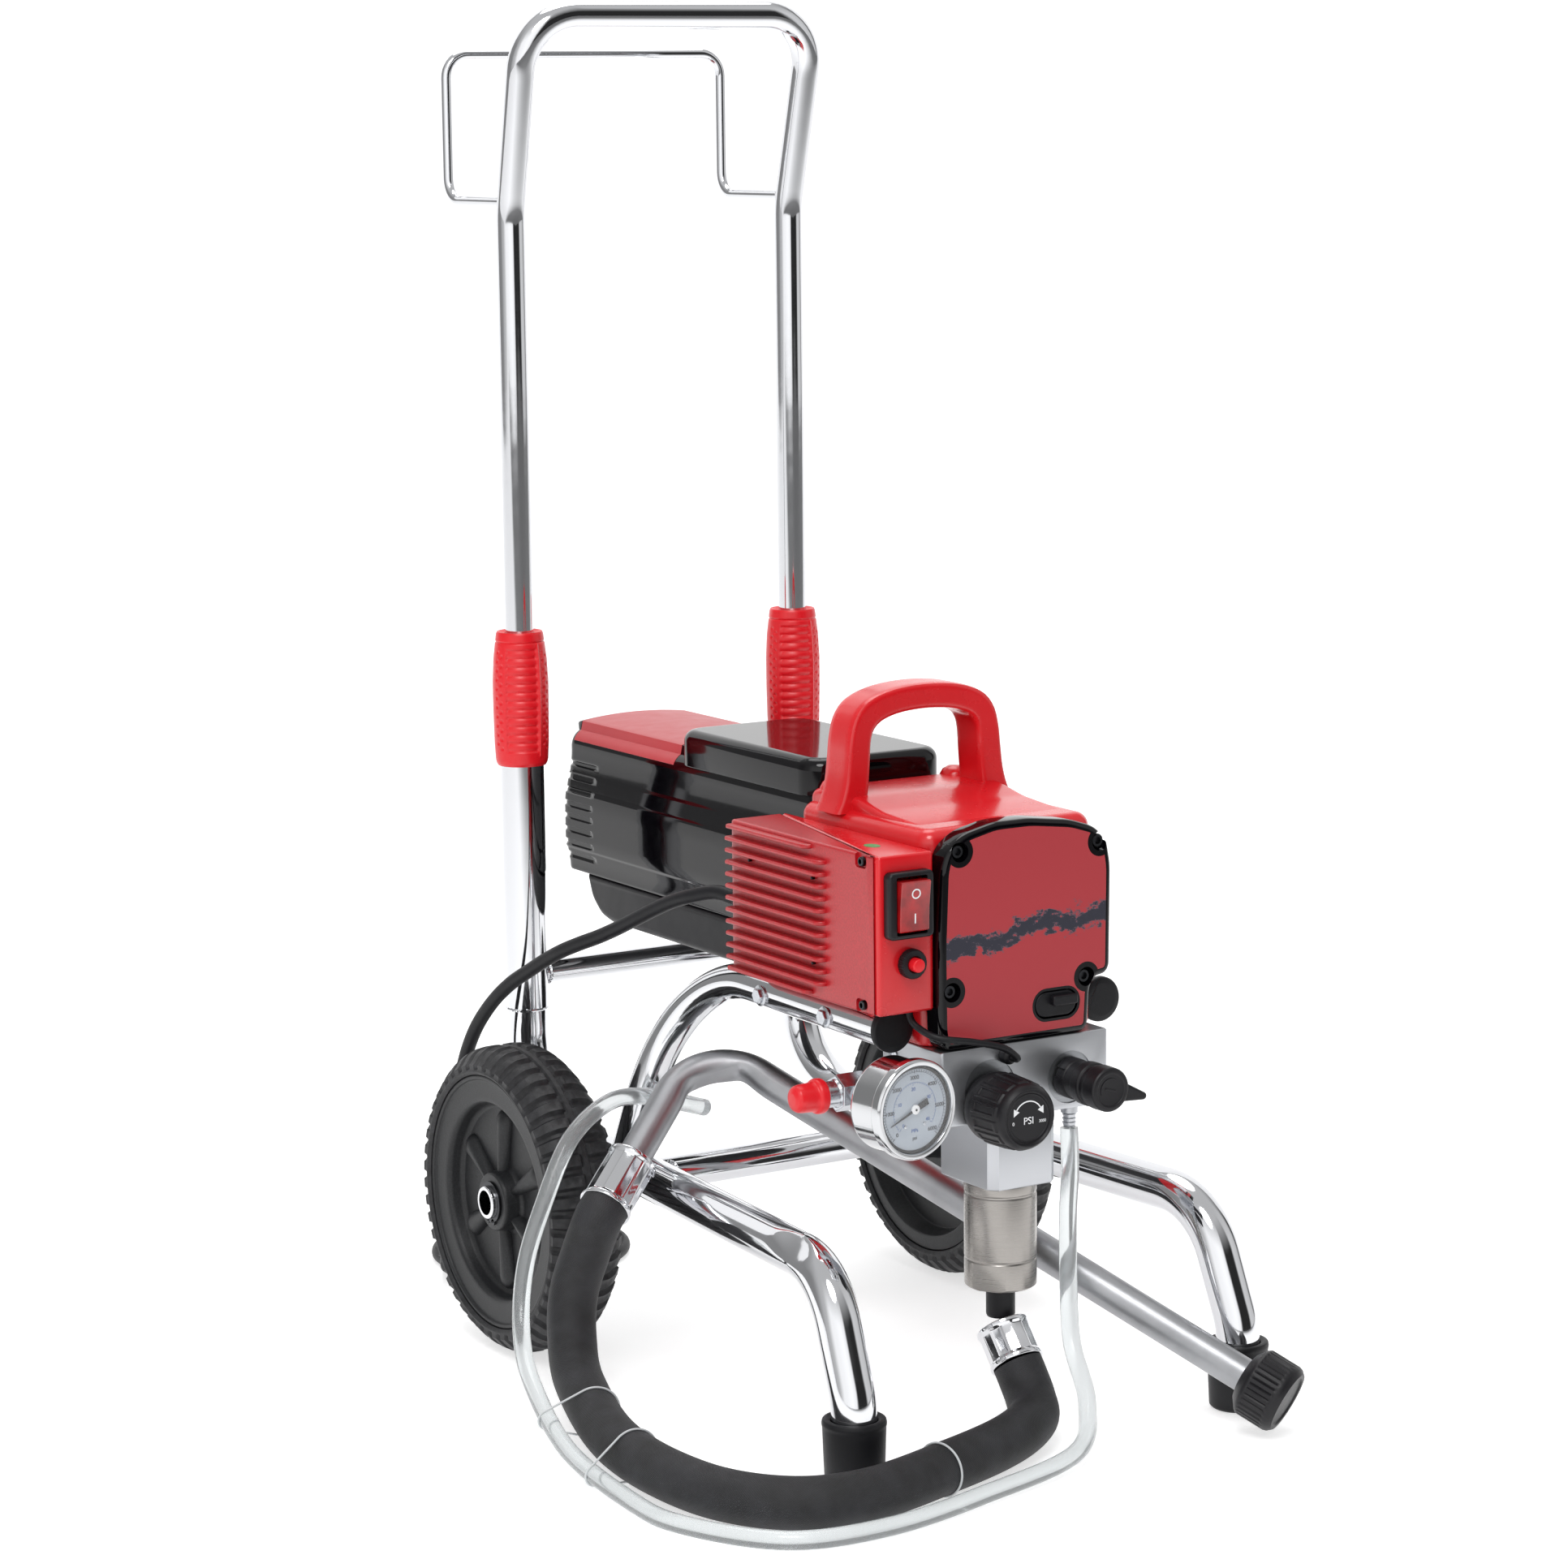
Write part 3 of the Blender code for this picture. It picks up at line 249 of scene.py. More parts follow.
def build(name, shapes, material, body="cart", replaces=(), sharp=38, attributes=None):
    # makes the mesh object from one shape or a list, with its place in its mesh
    points, faces = merged(shapes if isinstance(shapes, list) else [shapes])
    mesh = bpy.data.meshes.new(name)
    mesh.from_pydata(points.tolist(), [], [row for part in faces for row in np.asarray(part).tolist()])
    mesh.materials.append(material)
    mesh.shade_smooth()
    mesh.set_sharp_from_angle(angle=math.radians(sharp))
    for key, values in (attributes or {}).items():
        made = mesh.attributes.new(key, "FLOAT", "POINT")
        made.data.foreach_set("value", np.asarray(values, np.float32))
    obj = bpy.data.objects.new(name, mesh)
    bpy.context.scene.collection.objects.link(obj)
    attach(obj, body)
    if replaces:
        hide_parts(*replaces)
    return obj


def bent(corners, step=4.0):
    # a tube's centreline: (x, y, z, bend radius) corners joined by arcs, a point every few degrees
    corners = [(np.array(c[:3], float), c[3] if len(c) > 3 else 0) for c in corners]
    points = [corners[0][0]]
    for (before, _), (corner, radius), (after, _) in zip(corners, corners[1:], corners[2:]):
        into, out = before - corner, after - corner
        into, out = into / np.linalg.norm(into), out / np.linalg.norm(out)
        half = math.acos(np.clip(into @ out, -1, 1)) / 2
        middle = corner + (into + out) / np.linalg.norm(into + out) * radius / math.sin(half)
        first = corner + into * radius / math.tan(half) - middle
        last = corner + out * radius / math.tan(half) - middle
        sweepAngle = math.pi - 2 * half
        f = np.linspace(0, 1, max(3, round(math.degrees(sweepAngle) / step)) + 1)[:, None]
        points += list(middle + (first * np.sin((1 - f) * sweepAngle) + last * np.sin(f * sweepAngle))
            / math.sin(sweepAngle))
    return np.array(points + [corners[-1][0]])


def smoothPath(knots, spacing):
    # even points along a Catmull-Rom curve through the knots
    k = np.array(knots, float)
    k = np.vstack([2 * k[0] - k[1], k, 2 * k[-1] - k[-2]])
    t = np.linspace(0, 1, 25)[:-1, None]
    fine = [0.5 * (2 * b + (c - a) * t + (2 * a - 5 * b + 4 * c - d) * t ** 2 + (3 * b - a - 3 * c + d)
                   * t ** 3)
            for a, b, c, d in zip(k, k[1:], k[2:], k[3:])]
    return evened(np.vstack(fine + [k[-2:-1]]), spacing)


def evened(points, spacing):
    steps = np.linalg.norm(np.diff(points, axis=0), axis=1)
    alongIt = np.concatenate([[0], np.cumsum(steps)])
    even = np.linspace(0, alongIt[-1], max(2, round(alongIt[-1] / spacing)) + 1)
    return np.stack([np.interp(even, alongIt, points[:, i]) for i in range(3)], 1)


def lengthOf(points):
    return float(np.linalg.norm(np.diff(points, axis=0), axis=1).sum())


def smoothstep(x, start, end):
    t = np.clip((x - start) / (end - start), 0, 1)
    return t * t * (3 - 2 * t)


def linear(hexColour):
    rgb = [int(hexColour[i:i + 2], 16) / 255 for i in (0, 2, 4)]
    return tuple(v / 12.92 if v <= 0.04045 else ((v + 0.055) / 1.055) ** 2.4 for v in rgb) + (1.0,)


def startMaterial(name, colour, roughness, metallic=0.0, **settings):
    made = bpy.data.materials.new(name)
    made.use_nodes = True
    shader = made.node_tree.nodes["Principled BSDF"]
    shader.inputs["Base Color"].default_value = linear(colour)
    shader.inputs["Roughness"].default_value = roughness
    shader.inputs["Metallic"].default_value = metallic
    for key, value in settings.items():
        shader.inputs[key].default_value = value
    made.diffuse_color = linear(colour)
    return made, made.node_tree, shader


def addNode(tree, kind, settings=(), links=()):
    # one node: settings are (socket or property, value), links are (input, output socket)
    made = tree.nodes.new("ShaderNode" + kind)
    for key, value in settings:
        if isinstance(key, str) and hasattr(made, key) and not (key in made.inputs):
            setattr(made, key, value)
        else:
            made.inputs[key].default_value = value
    for key, output in links:
        tree.links.new(output, made.inputs[key])
    return made


def ramp(tree, source, stops, interpolation="LINEAR"):
    made = addNode(tree, "ValToRGB", links=[("Fac", source)])
    made.color_ramp.interpolation = interpolation
    elements = made.color_ramp.elements
    while len(elements) < len(stops):
        elements.new(0.5)
    for element, (place, colour) in zip(elements, stops):
        element.position = place
        element.color = colour if isinstance(colour, tuple) else (colour, colour, colour, 1)
    return made.outputs["Color"]


def objectPlace(tree, scale=(1, 1, 1), turn=(0, 0, 0), move=(0, 0, 0)):
    source = addNode(tree, "TexCoord").outputs["Object"]
    return addNode(tree, "Mapping", [("Scale", scale), ("Rotation", turn), ("Location", move)],
                   [("Vector", source)]).outputs["Vector"]


def noise(tree, scale, detail=3.0, place=None, roughness=0.5):
    links = [("Vector", place if place is not None else addNode(tree, "TexCoord").outputs["Object"])]
    return addNode(tree, "TexNoise", [("Scale", scale), ("Detail", detail), ("Roughness", roughness)],
                   links).outputs["Fac"]


def bumpFrom(tree, shader, height, strength, distance):
    made = addNode(tree, "Bump", [("Strength", strength), ("Distance", distance)], [("Height", height)])
    tree.links.new(made.outputs["Normal"], shader.inputs["Normal"])
    return made


def varyRoughness(tree, shader, source, lowest, highest):
    made = addNode(tree, "MapRange", [("To Min", lowest), ("To Max", highest)], [("Value", source)])
    tree.links.new(made.outputs["Result"], shader.inputs["Roughness"])


def chromePlate():
    # bright chromium over drawn steel tube: mirror-like, with faint buffing haze and a slow wave
    made, tree, shader = startMaterial("chromePlate", "DCDDE0", 0.05, 1.0)
    varyRoughness(tree, shader, noise(tree, 90, 4), 0.03, 0.11)
    bumpFrom(tree, shader, noise(tree, 16, 2), 0.12, 0.0012)
    return made


def zincPlate():
    # zinc-plated steel of bolts and fittings: bright but streaked and slightly blue
    made, tree, shader = startMaterial("zincPlate", "C6C9CE", 0.2, 1.0)
    varyRoughness(tree, shader, noise(tree, 260, 5), 0.12, 0.34)
    bumpFrom(tree, shader, noise(tree, 420, 3), 0.25, 0.0004)
    return made


def castPaint():
    # glossy red enamel over a die casting: an even film with slight orange peel a few millimetres wide
    made, tree, shader = startMaterial("castPaint", "D2161F", 0.28, 0.0,
        **{"Coat Weight": 0.3, "Coat Roughness": 0.12})
    peel = noise(tree, 520, 2)
    bumpFrom(tree, shader, peel, 0.06, 0.0004)
    varyRoughness(tree, shader, noise(tree, 60, 3), 0.2, 0.32)
    tree.links.new(ramp(tree, noise(tree, 9, 3), [(0.3, linear("CC141D")), (0.7, linear("D81922"))]),
                   shader.inputs["Base Color"])
    return made


def finPaint():
    # the same red on sand-blasted casting: finer, slightly grainy and a little darker
    made, tree, shader = startMaterial("finPaint", "B5141D", 0.34, 0.0,
        **{"Coat Weight": 0.2, "Coat Roughness": 0.2})
    bumpFrom(tree, shader, noise(tree, 1500, 3), 0.22, 0.0003)
    tree.links.new(ramp(tree, noise(tree, 700, 2), [(0.35, linear("A6101A")), (0.7, linear("BC1621"))]),
                   shader.inputs["Base Color"])
    return made


def gripPlastic():
    # moulded red polypropylene: satin, with a warm translucent edge
    made, tree, shader = startMaterial("gripPlastic", "DC1420", 0.34, 0.0,
        **{"Subsurface Weight": 0.06, "Subsurface Radius": (0.004, 0.001, 0.001)})
    bumpFrom(tree, shader, noise(tree, 1100, 2), 0.08, 0.0003)
    varyRoughness(tree, shader, noise(tree, 40, 2), 0.28, 0.42)
    return made


def glossAbs():
    # polished black ABS of the motor cover: deep gloss with a soft ripple and dust-fine scratches
    made, tree, shader = startMaterial("glossAbs", "050407", 0.07, 0.0,
        **{"IOR": 1.5, "Specular IOR Level": 0.33})
    varyRoughness(tree, shader, noise(tree, 130, 5), 0.04, 0.09)
    bumpFrom(tree, shader, noise(tree, 24, 2), 0.03, 0.001)
    return made


def mattAbs():
    # spark-eroded black plastic of knobs and switch: satin with a fine grain of about half a millimetre
    made, tree, shader = startMaterial("mattAbs", "131216", 0.4, 0.0,
        **{"IOR": 1.5, "Specular IOR Level": 0.35})
    grain = noise(tree, 2200, 3)
    bumpFrom(tree, shader, grain, 0.22, 0.0003)
    varyRoughness(tree, shader, noise(tree, 90, 3), 0.36, 0.5)
    return made


def rimNylon():
    # glass-filled nylon: dull black with pale fibre flecks
    made, tree, shader = startMaterial("rimNylon", "1A1A1E", 0.46, 0.0,
        **{"IOR": 1.5, "Specular IOR Level": 0.4})
    tree.links.new(ramp(tree, noise(tree, 800, 4), [(0.45, linear("17181A")), (0.75, linear("26272A"))]),
                   shader.inputs["Base Color"])
    bumpFrom(tree, shader, noise(tree, 1300, 3), 0.28, 0.0004)
    return made


def tyreRubber():
    # solid rubber with mould bloom: dull, and dusty grey along edges
    made, tree, shader = startMaterial("tyreRubber", "1B1B1D", 0.6, 0.0, **{"IOR": 1.5})
    tree.links.new(ramp(tree, noise(tree, 220, 5), [(0.35, linear("161618")), (0.75, linear("2B2B2E"))]),
                   shader.inputs["Base Color"])
    bumpFrom(tree, shader, noise(tree, 900, 4), 0.35, 0.0005)
    varyRoughness(tree, shader, noise(tree, 70, 3), 0.45, 0.7)
    return made


def capRubber():
    # soft black vinyl of feet, end caps and leads
    made, tree, shader = startMaterial("capRubber", "111115", 0.46, 0.0,
        **{"IOR": 1.48, "Specular IOR Level": 0.35})
    bumpFrom(tree, shader, noise(tree, 700, 3), 0.18, 0.0004)
    varyRoughness(tree, shader, noise(tree, 50, 3), 0.4, 0.58)
    return made


def hoseRubber():
    # black hose cured in a cloth wrap: dull, printed with the weave; the real two threads a millimetre
    # are drawn coarser
    made, tree, shader = startMaterial("hoseRubber", "1C1C1F", 0.62, 0.0, **{"IOR": 1.5})
    roundIt = addNode(tree, "Attribute", [("attribute_name", "turnMm")]).outputs["Fac"]
    length = addNode(tree, "Attribute", [("attribute_name", "alongMm")]).outputs["Fac"]
    waves = []
    for source in (roundIt, length):
        scaled = addNode(tree, "Math", [("operation", "MULTIPLY"), (1, 2 * math.pi / 1.6)],
            [(0, source)]).outputs[0]
        waves.append(addNode(tree, "Math", [("operation", "SINE")], [(0, scaled)]).outputs[0])
    weave = addNode(tree, "Math", [("operation", "MULTIPLY")], [(0, waves[0]), (1, waves[1])]).outputs[0]
    slub = noise(tree, 260, 3)
    height = addNode(tree, "Math", [("operation", "MULTIPLY_ADD"), (1, 0.5)],
        [(0, weave), (2, slub)]).outputs[0]
    bumpFrom(tree, shader, height, 0.5, 0.0004)
    tree.links.new(ramp(tree, noise(tree, 45, 4), [(0.35, linear("161618")), (0.72, linear("29292D"))]),
                   shader.inputs["Base Color"])
    return made


def milledAluminium():
    # bright milled and linished aluminium: fine strokes across the front, about 0.3 mm apart
    made, tree, shader = startMaterial("milledAluminium", "C3C5C9", 0.34, 1.0)
    strokes = noise(tree, 1.0, 4, objectPlace(tree, (45, 45, 2600)))
    bumpFrom(tree, shader, strokes, 0.1, 0.0003)
    varyRoughness(tree, shader, strokes, 0.28, 0.46)
    return made


def machinedRecessPaintedShade():
    # end-milled pocket: circular tool marks, and a base colour darker than the linished face that is painted
    # shade in the hollow
    made, tree, shader = startMaterial("machinedRecessPaintedShade", "A9ACB0", 0.3, 1.0)
    strokes = noise(tree, 1.0, 4, objectPlace(tree, (40, 40, 1800), (0, 0.7, 0)))
    bumpFrom(tree, shader, strokes, 0.3, 0.0004)
    varyRoughness(tree, shader, strokes, 0.22, 0.5)
    return made


def satinTube():
    # mill-finish aluminium tube: pale satin with drawing lines along it and a bruise at the bend
    made, tree, shader = startMaterial("satinTube", "A4A5A8", 0.38, 1.0)
    varyRoughness(tree, shader, noise(tree, 120, 5), 0.33, 0.47)
    tree.links.new(ramp(tree, noise(tree, 28, 4), [(0.3, linear("9A9B9E")), (0.7, linear("AEAFB2"))]),
                   shader.inputs["Base Color"])
    bumpFrom(tree, shader, noise(tree, 600, 2), 0.12, 0.0003)
    return made


def turnedStainless():
    # lathe-turned stainless cylinder: warm grey, rings a fifth of a millimetre apart drawn coarser
    made, tree, shader = startMaterial("turnedStainless", "A29E9A", 0.26, 1.0)
    rings = noise(tree, 1.0, 3, objectPlace(tree, (12, 12, 2400)))
    bumpFrom(tree, shader, rings, 0.14, 0.0003)
    varyRoughness(tree, shader, rings, 0.2, 0.38)
    return made


def polishedStainless():
    # pressed and polished stainless gauge case
    made, tree, shader = startMaterial("polishedStainless", "CFD0D2", 0.09, 1.0)
    varyRoughness(tree, shader, noise(tree, 150, 4), 0.06, 0.16)
    return made


def steelDark():
    # oiled spring steel and blackened screws
    made, tree, shader = startMaterial("steelDark", "3A3B3E", 0.3, 1.0)
    varyRoughness(tree, shader, noise(tree, 500, 4), 0.22, 0.42)
    return made


def clearVinyl():
    # extruded clear PVC tube: glassy wall with a milky haze
    made, tree, shader = startMaterial("clearVinyl", "E9EDEE", 0.16, 0.0,
        **{"IOR": 1.42, "Transmission Weight": 0.82})
    varyRoughness(tree, shader, noise(tree, 60, 3), 0.1, 0.24)
    return made


def rockerLens():
    # translucent red polycarbonate over a lamp
    made, tree, shader = startMaterial("rockerLens", "A80E12", 0.12, 0.0,
        **{"IOR": 1.58, "Transmission Weight": 0.15, "Coat Weight": 0.5, "Coat Roughness": 0.05})
    tree.links.new(ramp(tree, noise(tree, 90, 2), [(0.35, linear("8E0A10")), (0.7, linear("C21318"))]),
                   shader.inputs["Base Color"])
    return made


def plainInk(name, colour, roughness=0.45):
    # screen-printed ink
    made, tree, shader = startMaterial(name, colour, roughness)
    varyRoughness(tree, shader, noise(tree, 300, 2), roughness - 0.06, roughness + 0.06)
    return made


print("building materials")
chrome, zinc, red, finRed = chromePlate(), zincPlate(), castPaint(), finPaint()
gripRed, gloss, matt, nylon = gripPlastic(), glossAbs(), mattAbs(), rimNylon()
tyre, rubber, hoseSkin, milled = tyreRubber(), capRubber(), hoseRubber(), milledAluminium()
# the recess metal's darker colour is painted shade
recessPaintedShadeMetal, tubeMetal = machinedRecessPaintedShade(), satinTube()
stainless, gaugeSteel = turnedStainless(), polishedStainless()
darkSteel, clear, lampRed = steelDark(), clearVinyl(), rockerLens()
whiteInk, blackInk, blueInk = plainInk("whiteInk", "E9EAEC"), plainInk("blackInk",
    "1A1B20"), plainInk("blueInk", "3F5E9A")

# The camera stands to the machine's left front, a little above it
view = {"place": (-1.644, -2.61, 0.939), "turn": 31.5, "down": 9.24, "roll": -0.65, "lens": 96.13}


def cameraAxes():
    # right, up and forward for the view's turn from +Y towards +X, its tilt and its roll
    b, p, r = (math.radians(view[k]) for k in ("turn", "down", "roll"))
    right = np.array([math.cos(b), -math.sin(b), 0])
    forward = np.array([math.sin(b) * math.cos(p), math.cos(b) * math.cos(p), -math.sin(p)])
    up = np.cross(right, forward)
    return right * math.cos(r) + up * math.sin(r), up * math.cos(r) - right * math.sin(r), forward


def setCamera():
    right, up, forward = cameraAxes()
    data = bpy.data.cameras.new("camera")
    data.lens, data.sensor_width, data.clip_end = view["lens"], 36, 60
    obj = bpy.data.objects.new("camera", data)
    bpy.context.scene.collection.objects.link(obj)
    rows = [[right[i], up[i], -forward[i], view["place"][i]] for i in range(3)]
    obj.matrix_world = Matrix(rows + [[0, 0, 0, 1]])
    bpy.context.scene.camera = obj


# A white tent: even light all round, with a dark gap to the right of the camera that bright metal
# shows as a band
studio = {"world": 1.45, "tentTop": 0.42, "key": 40.0, "top": 26.0, "paperGlow": 0.62}
gapStops = ((0.0, 0.34), (0.08, 0.22), (0.25, 0.2), (0.33, 0.42), (0.4, 0.86), (0.5, 0.95), (0.545, 0.85),
            (0.575, 0.02),
            (0.69, 0.02), (0.725, 0.55), (0.79, 0.5), (0.84, 0.05), (0.9, 0.05), (0.94, 0.34), (1.0, 0.34))


def setWorld():
    # the brightness depends on the compass direction, from straight behind the camera, and on the height;
    # the camera itself sees a plain pale backdrop
    world = bpy.data.worlds.new("whiteTent")
    world.use_nodes = True
    bpy.context.scene.world = world
    tree = world.node_tree
    b = math.radians(view["turn"])
    place = addNode(tree, "TexCoord").outputs["Generated"]
    toCamera = addNode(tree, "VectorMath", [("operation", "DOT_PRODUCT"),
        (1, (-math.sin(b), -math.cos(b), 0))], [(0, place)])
    toRight = addNode(tree, "VectorMath", [("operation", "DOT_PRODUCT"),
        (1, (math.cos(b), -math.sin(b), 0))], [(0, place)])
    links = [(0, toRight.outputs["Value"]), (1, toCamera.outputs["Value"])]
    angle = addNode(tree, "Math", [("operation", "ARCTAN2")], links).outputs[0]
    share = addNode(tree, "MapRange", [("From Min", -math.pi), ("From Max", math.pi)],
                    [("Value", angle)]).outputs["Result"]
    round_ = ramp(tree, share, gapStops, "EASE")
    rise = addNode(tree, "SeparateXYZ", links=[("Vector", place)]).outputs["Z"]
    height = ramp(tree, rise, [(0.0, 0.0), (0.42, 0.0), (0.85, 1.0)])
    top = studio["tentTop"]
    both = addNode(tree, "MixRGB", [("Color2", (top, top, top, 1))],
                   [("Fac", height), ("Color1", round_)]).outputs["Color"]
    seen = addNode(tree, "LightPath").outputs["Is Camera Ray"]      # the backdrop itself is plain
    plain = addNode(tree, "MixRGB", [("Color2", (0.66, 0.66, 0.66, 1))],
                    [("Fac", seen), ("Color1", both)]).outputs["Color"]
    tree.links.new(plain, tree.nodes["Background"].inputs["Color"])
    tree.nodes["Background"].inputs["Strength"].default_value = studio["world"]


def areaLight(name, place, target, size, power):
    data = bpy.data.lights.new(name, "AREA")
    data.shape, data.size, data.energy = "DISK", size, power
    obj = bpy.data.objects.new(name, data)
    bpy.context.scene.collection.objects.link(obj)
    x, y, z, origin = along(place, np.array(place) - np.array(target))
    obj.matrix_world = Matrix([[x[i], y[i], z[i], origin[i]] for i in range(3)] + [[0, 0, 0, 1]])


def paperSweep():
    # white paper that lies flat and rises behind the machine on a quarter circle
    # it glows a little, less so far out in front and to the right
    made, tree, shader = startMaterial("whitePaper", "D8D8D8", 0.8, 0.0, **{"Emission Color": (1, 1, 1, 1)})
    place = addNode(tree, "TexCoord").outputs["Object"]
    right, _, forward = cameraAxes()
    out = tuple((0.8 * right - 0.9 * forward * [1, 1, 0]).tolist())
    away = addNode(tree, "VectorMath", [("operation", "DOT_PRODUCT"), (1, out)],
                   [(0, place)]).outputs["Value"]
    links = [("Value", away)]
    limits = [("From Min", 1.0), ("From Max", 2.6), ("To Min", studio["paperGlow"]), ("To Max", 0.0)]
    seen = addNode(tree, "LightPath").outputs["Is Camera Ray"]      # the fade shows only in reflections
    fade = addNode(tree, "MapRange", limits, links).outputs["Result"]
    least = addNode(tree, "Math", [("operation", "MULTIPLY"), (1, studio["paperGlow"])],
                    [(0, seen)]).outputs[0]
    glow = addNode(tree, "Math", [("operation", "MAXIMUM")], [(0, fade), (1, least)]).outputs[0]
    tree.links.new(glow, shader.inputs["Emission Strength"])
    share = addNode(tree, "MapRange", limits[:2], links).outputs["Result"]
    share = addNode(tree, "Math", [("operation", "SUBTRACT")], [(0, share), (1, seen)]).outputs[0]
    tree.links.new(ramp(tree, share, [(0.0, linear("D8D8D8")), (1.0, linear("8C8C8C"))]),
                   shader.inputs["Base Color"])
    along_ = np.concatenate([np.linspace(-9, 3.5, 40),
        3.5 + 3 * np.sin(np.linspace(0, math.pi / 2, 16)[1:]), [6.5]])
    rise = np.concatenate([np.zeros(40), 3 - 3 * np.cos(np.linspace(0, math.pi / 2, 16)[1:]), [7.0]])
    across = np.linspace(-9, 9, 19)
    right, _, forward = cameraAxes()
    right, ahead = right * [1, 1, 0], forward * [1, 1, 0]
    grid = along_[:, None, None] * ahead / np.linalg.norm(ahead) + across[None, :,
        None] * right / np.linalg.norm(right)
    grid[:, :, 2] = rise[:, None] - 0.0002
    mesh = bpy.data.meshes.new("paper")
    mesh.from_pydata(grid.reshape(-1, 3).tolist(), [], quadGrid(len(along_), 19, False, False).tolist())
    mesh.materials.append(made)
    mesh.shade_smooth()
    obj = bpy.data.objects.new("paper", mesh)
    bpy.context.scene.collection.objects.link(obj)


print("camera, paper and light")
setCamera()
setWorld()
paperSweep()
areaLight("keyLight", (-1.2, -1.6, 2.9), (0, 0, 0.4), 1.4, studio["key"])
areaLight("topLight", (0.4, 0.9, 2.8), (0, 0, 0.3), 1.8, studio["top"])
bpy.context.scene.view_settings.view_transform = "Standard"


def cordTube(name, path, diameter, material, replaces, sidesRound=24, pieceOf="cart", spacing=None, edge=0.0):
    # a round tube along the path; its length and turn in millimetres are kept for the pattern of the skin
    fine = path if spacing is None else evened(path, spacing)
    section = circle(diameter / 2, sidesRound)
    shape = sweep(fine, section, edge=edge)
    rows = len(shape[0]) // sidesRound
    gone = np.linspace(0, lengthOf(fine) * 1000, rows)
    around = np.minimum(np.arange(sidesRound),
        sidesRound - np.arange(sidesRound)) * math.pi * diameter * 1000 / sidesRound
    values = {"alongMm": np.repeat(gone, sidesRound), "turnMm": np.tile(around, rows)}
    return build(name, shape, material, pieceOf, replaces, attributes=values)


mains = {"diameter": 0.011, "turnGap": 0.012, "outerRing": 0.0715, "lowLayer": 0.0061, "highLayer": 0.0174}


def coilPath(middle, start):
    # three turns inwards on the floor and 2.5 outwards on top of them, clockwise; each step to the next
    # ring takes a quarter turn, always in the same quarter, so that neighbours stay a diameter apart
    rings = mains["outerRing"] - mains["turnGap"] * np.array([0, 1, 2, 2, 1, 0])
    u = np.arange(0, 5.46, 1 / 24)
    radius = start + (rings[0] - start) * smoothstep(u, 0, 0.3)
    for turn in range(1, 6):
        radius = radius + (rings[turn] - rings[turn - 1]) * smoothstep(u, turn - 0.25, turn)
    height = mains["lowLayer"] + (mains["highLayer"] - mains["lowLayer"]) * smoothstep(u, 2.45, 2.8)
    angle = math.pi - 2 * math.pi * u
    return np.stack([middle[0] + radius * np.cos(angle), middle[1] + radius * np.sin(angle), height], -1)


def mainsCord():
    middle = centre("mains_coil")
    leadKnots = [at(-0.102, -0.1697, 0.365), at(-0.102, -0.163, 0.365), at(-0.108, -0.15, 0.3675),
                 at(-0.118, -0.127, 0.362), at(-0.125, -0.1, 0.352), at(-0.14, -0.041, 0.323),
                 at(-0.153, 0.004, 0.304), at(-0.16, 0.04, 0.285), at(-0.169, 0.08, 0.259),
                 at(-0.174, 0.118, 0.22), at(-0.176, 0.142, 0.17), at(-0.176, 0.156, 0.11),
                 at(-0.173, 0.168, 0.055), at(-0.168, 0.186, 0.019), at(-0.156, 0.208, 0.0075),
                 at(-0.148, 0.223, 0.0061)]
    coil = coilPath(middle, middle[0] + 0.1473)
    tail = np.array([high("mains_plug")[0] - 0.002, *centre("mains_plug")[1:]])
    climb = [coil[-1] + (0.003, -0.019, 0.003), tail + (0.04, 0.033, -0.013), tail + (0.022, 0.012, -0.005),
             tail]
    lead = smoothPath(leadKnots, 0.022)
    path = smoothPath(np.vstack([lead, coil, climb]), 0.004)
    obj = cordTube("mains_cord", path, mains["diameter"], rubber, ("mains_lead", "mains_coil"), 20)
    return obj, path


mainsPiece, mainsPath = mainsCord()


def turnedPiece(name, profile, to, material, body="cart", replaces=(), steps=64, soften=0.0006, shape=None):
    # a turned shape placed on its axis, corners slightly rounded
    made = revolve(softened(profile, soften) if soften else profile, steps, shape)
    return build(name, placed(made, to), material, body, replaces)


def mainsPlug():
    # moulded plug: a waisted body with a ribbed sleeve, and two round pins
    node = "mains_plug"
    tail = np.array([high(node)[0], *centre(node)[1:]])
    body = [(0, 0), (0.0068, 0), (0.0072, 0.003), (0.006, 0.004), (0.0074, 0.006), (0.0062, 0.007),
            (0.0076, 0.009),
            (0.0064, 0.01), (0.008, 0.0125), (0.0118, 0.0165), (0.0182, 0.0285), (0.0183, 0.042),
            (0.0166, 0.045), (0, 0.045)]
    to = along(tail, (-1, 0, 0))
    shapes = [placed(revolve(softened(body, 0.0008), 48), to)]
    plug = build("plug_body", shapes, rubber, "cart", (node,))
    pins = [placed(revolve(softened([(0, 0.044), (0.0023, 0.044), (0.0023, 0.0545), (0.0012, 0.0558),
        (0, 0.0558)], 0.0004), 24),
                   along(tail + np.array([0, s * 0.0092, 0]), (-1, 0, 0))) for s in (-1, 1)]
    return plug, build("plug_pins", pins, zinc, "cart")


plugPieces = mainsPlug()

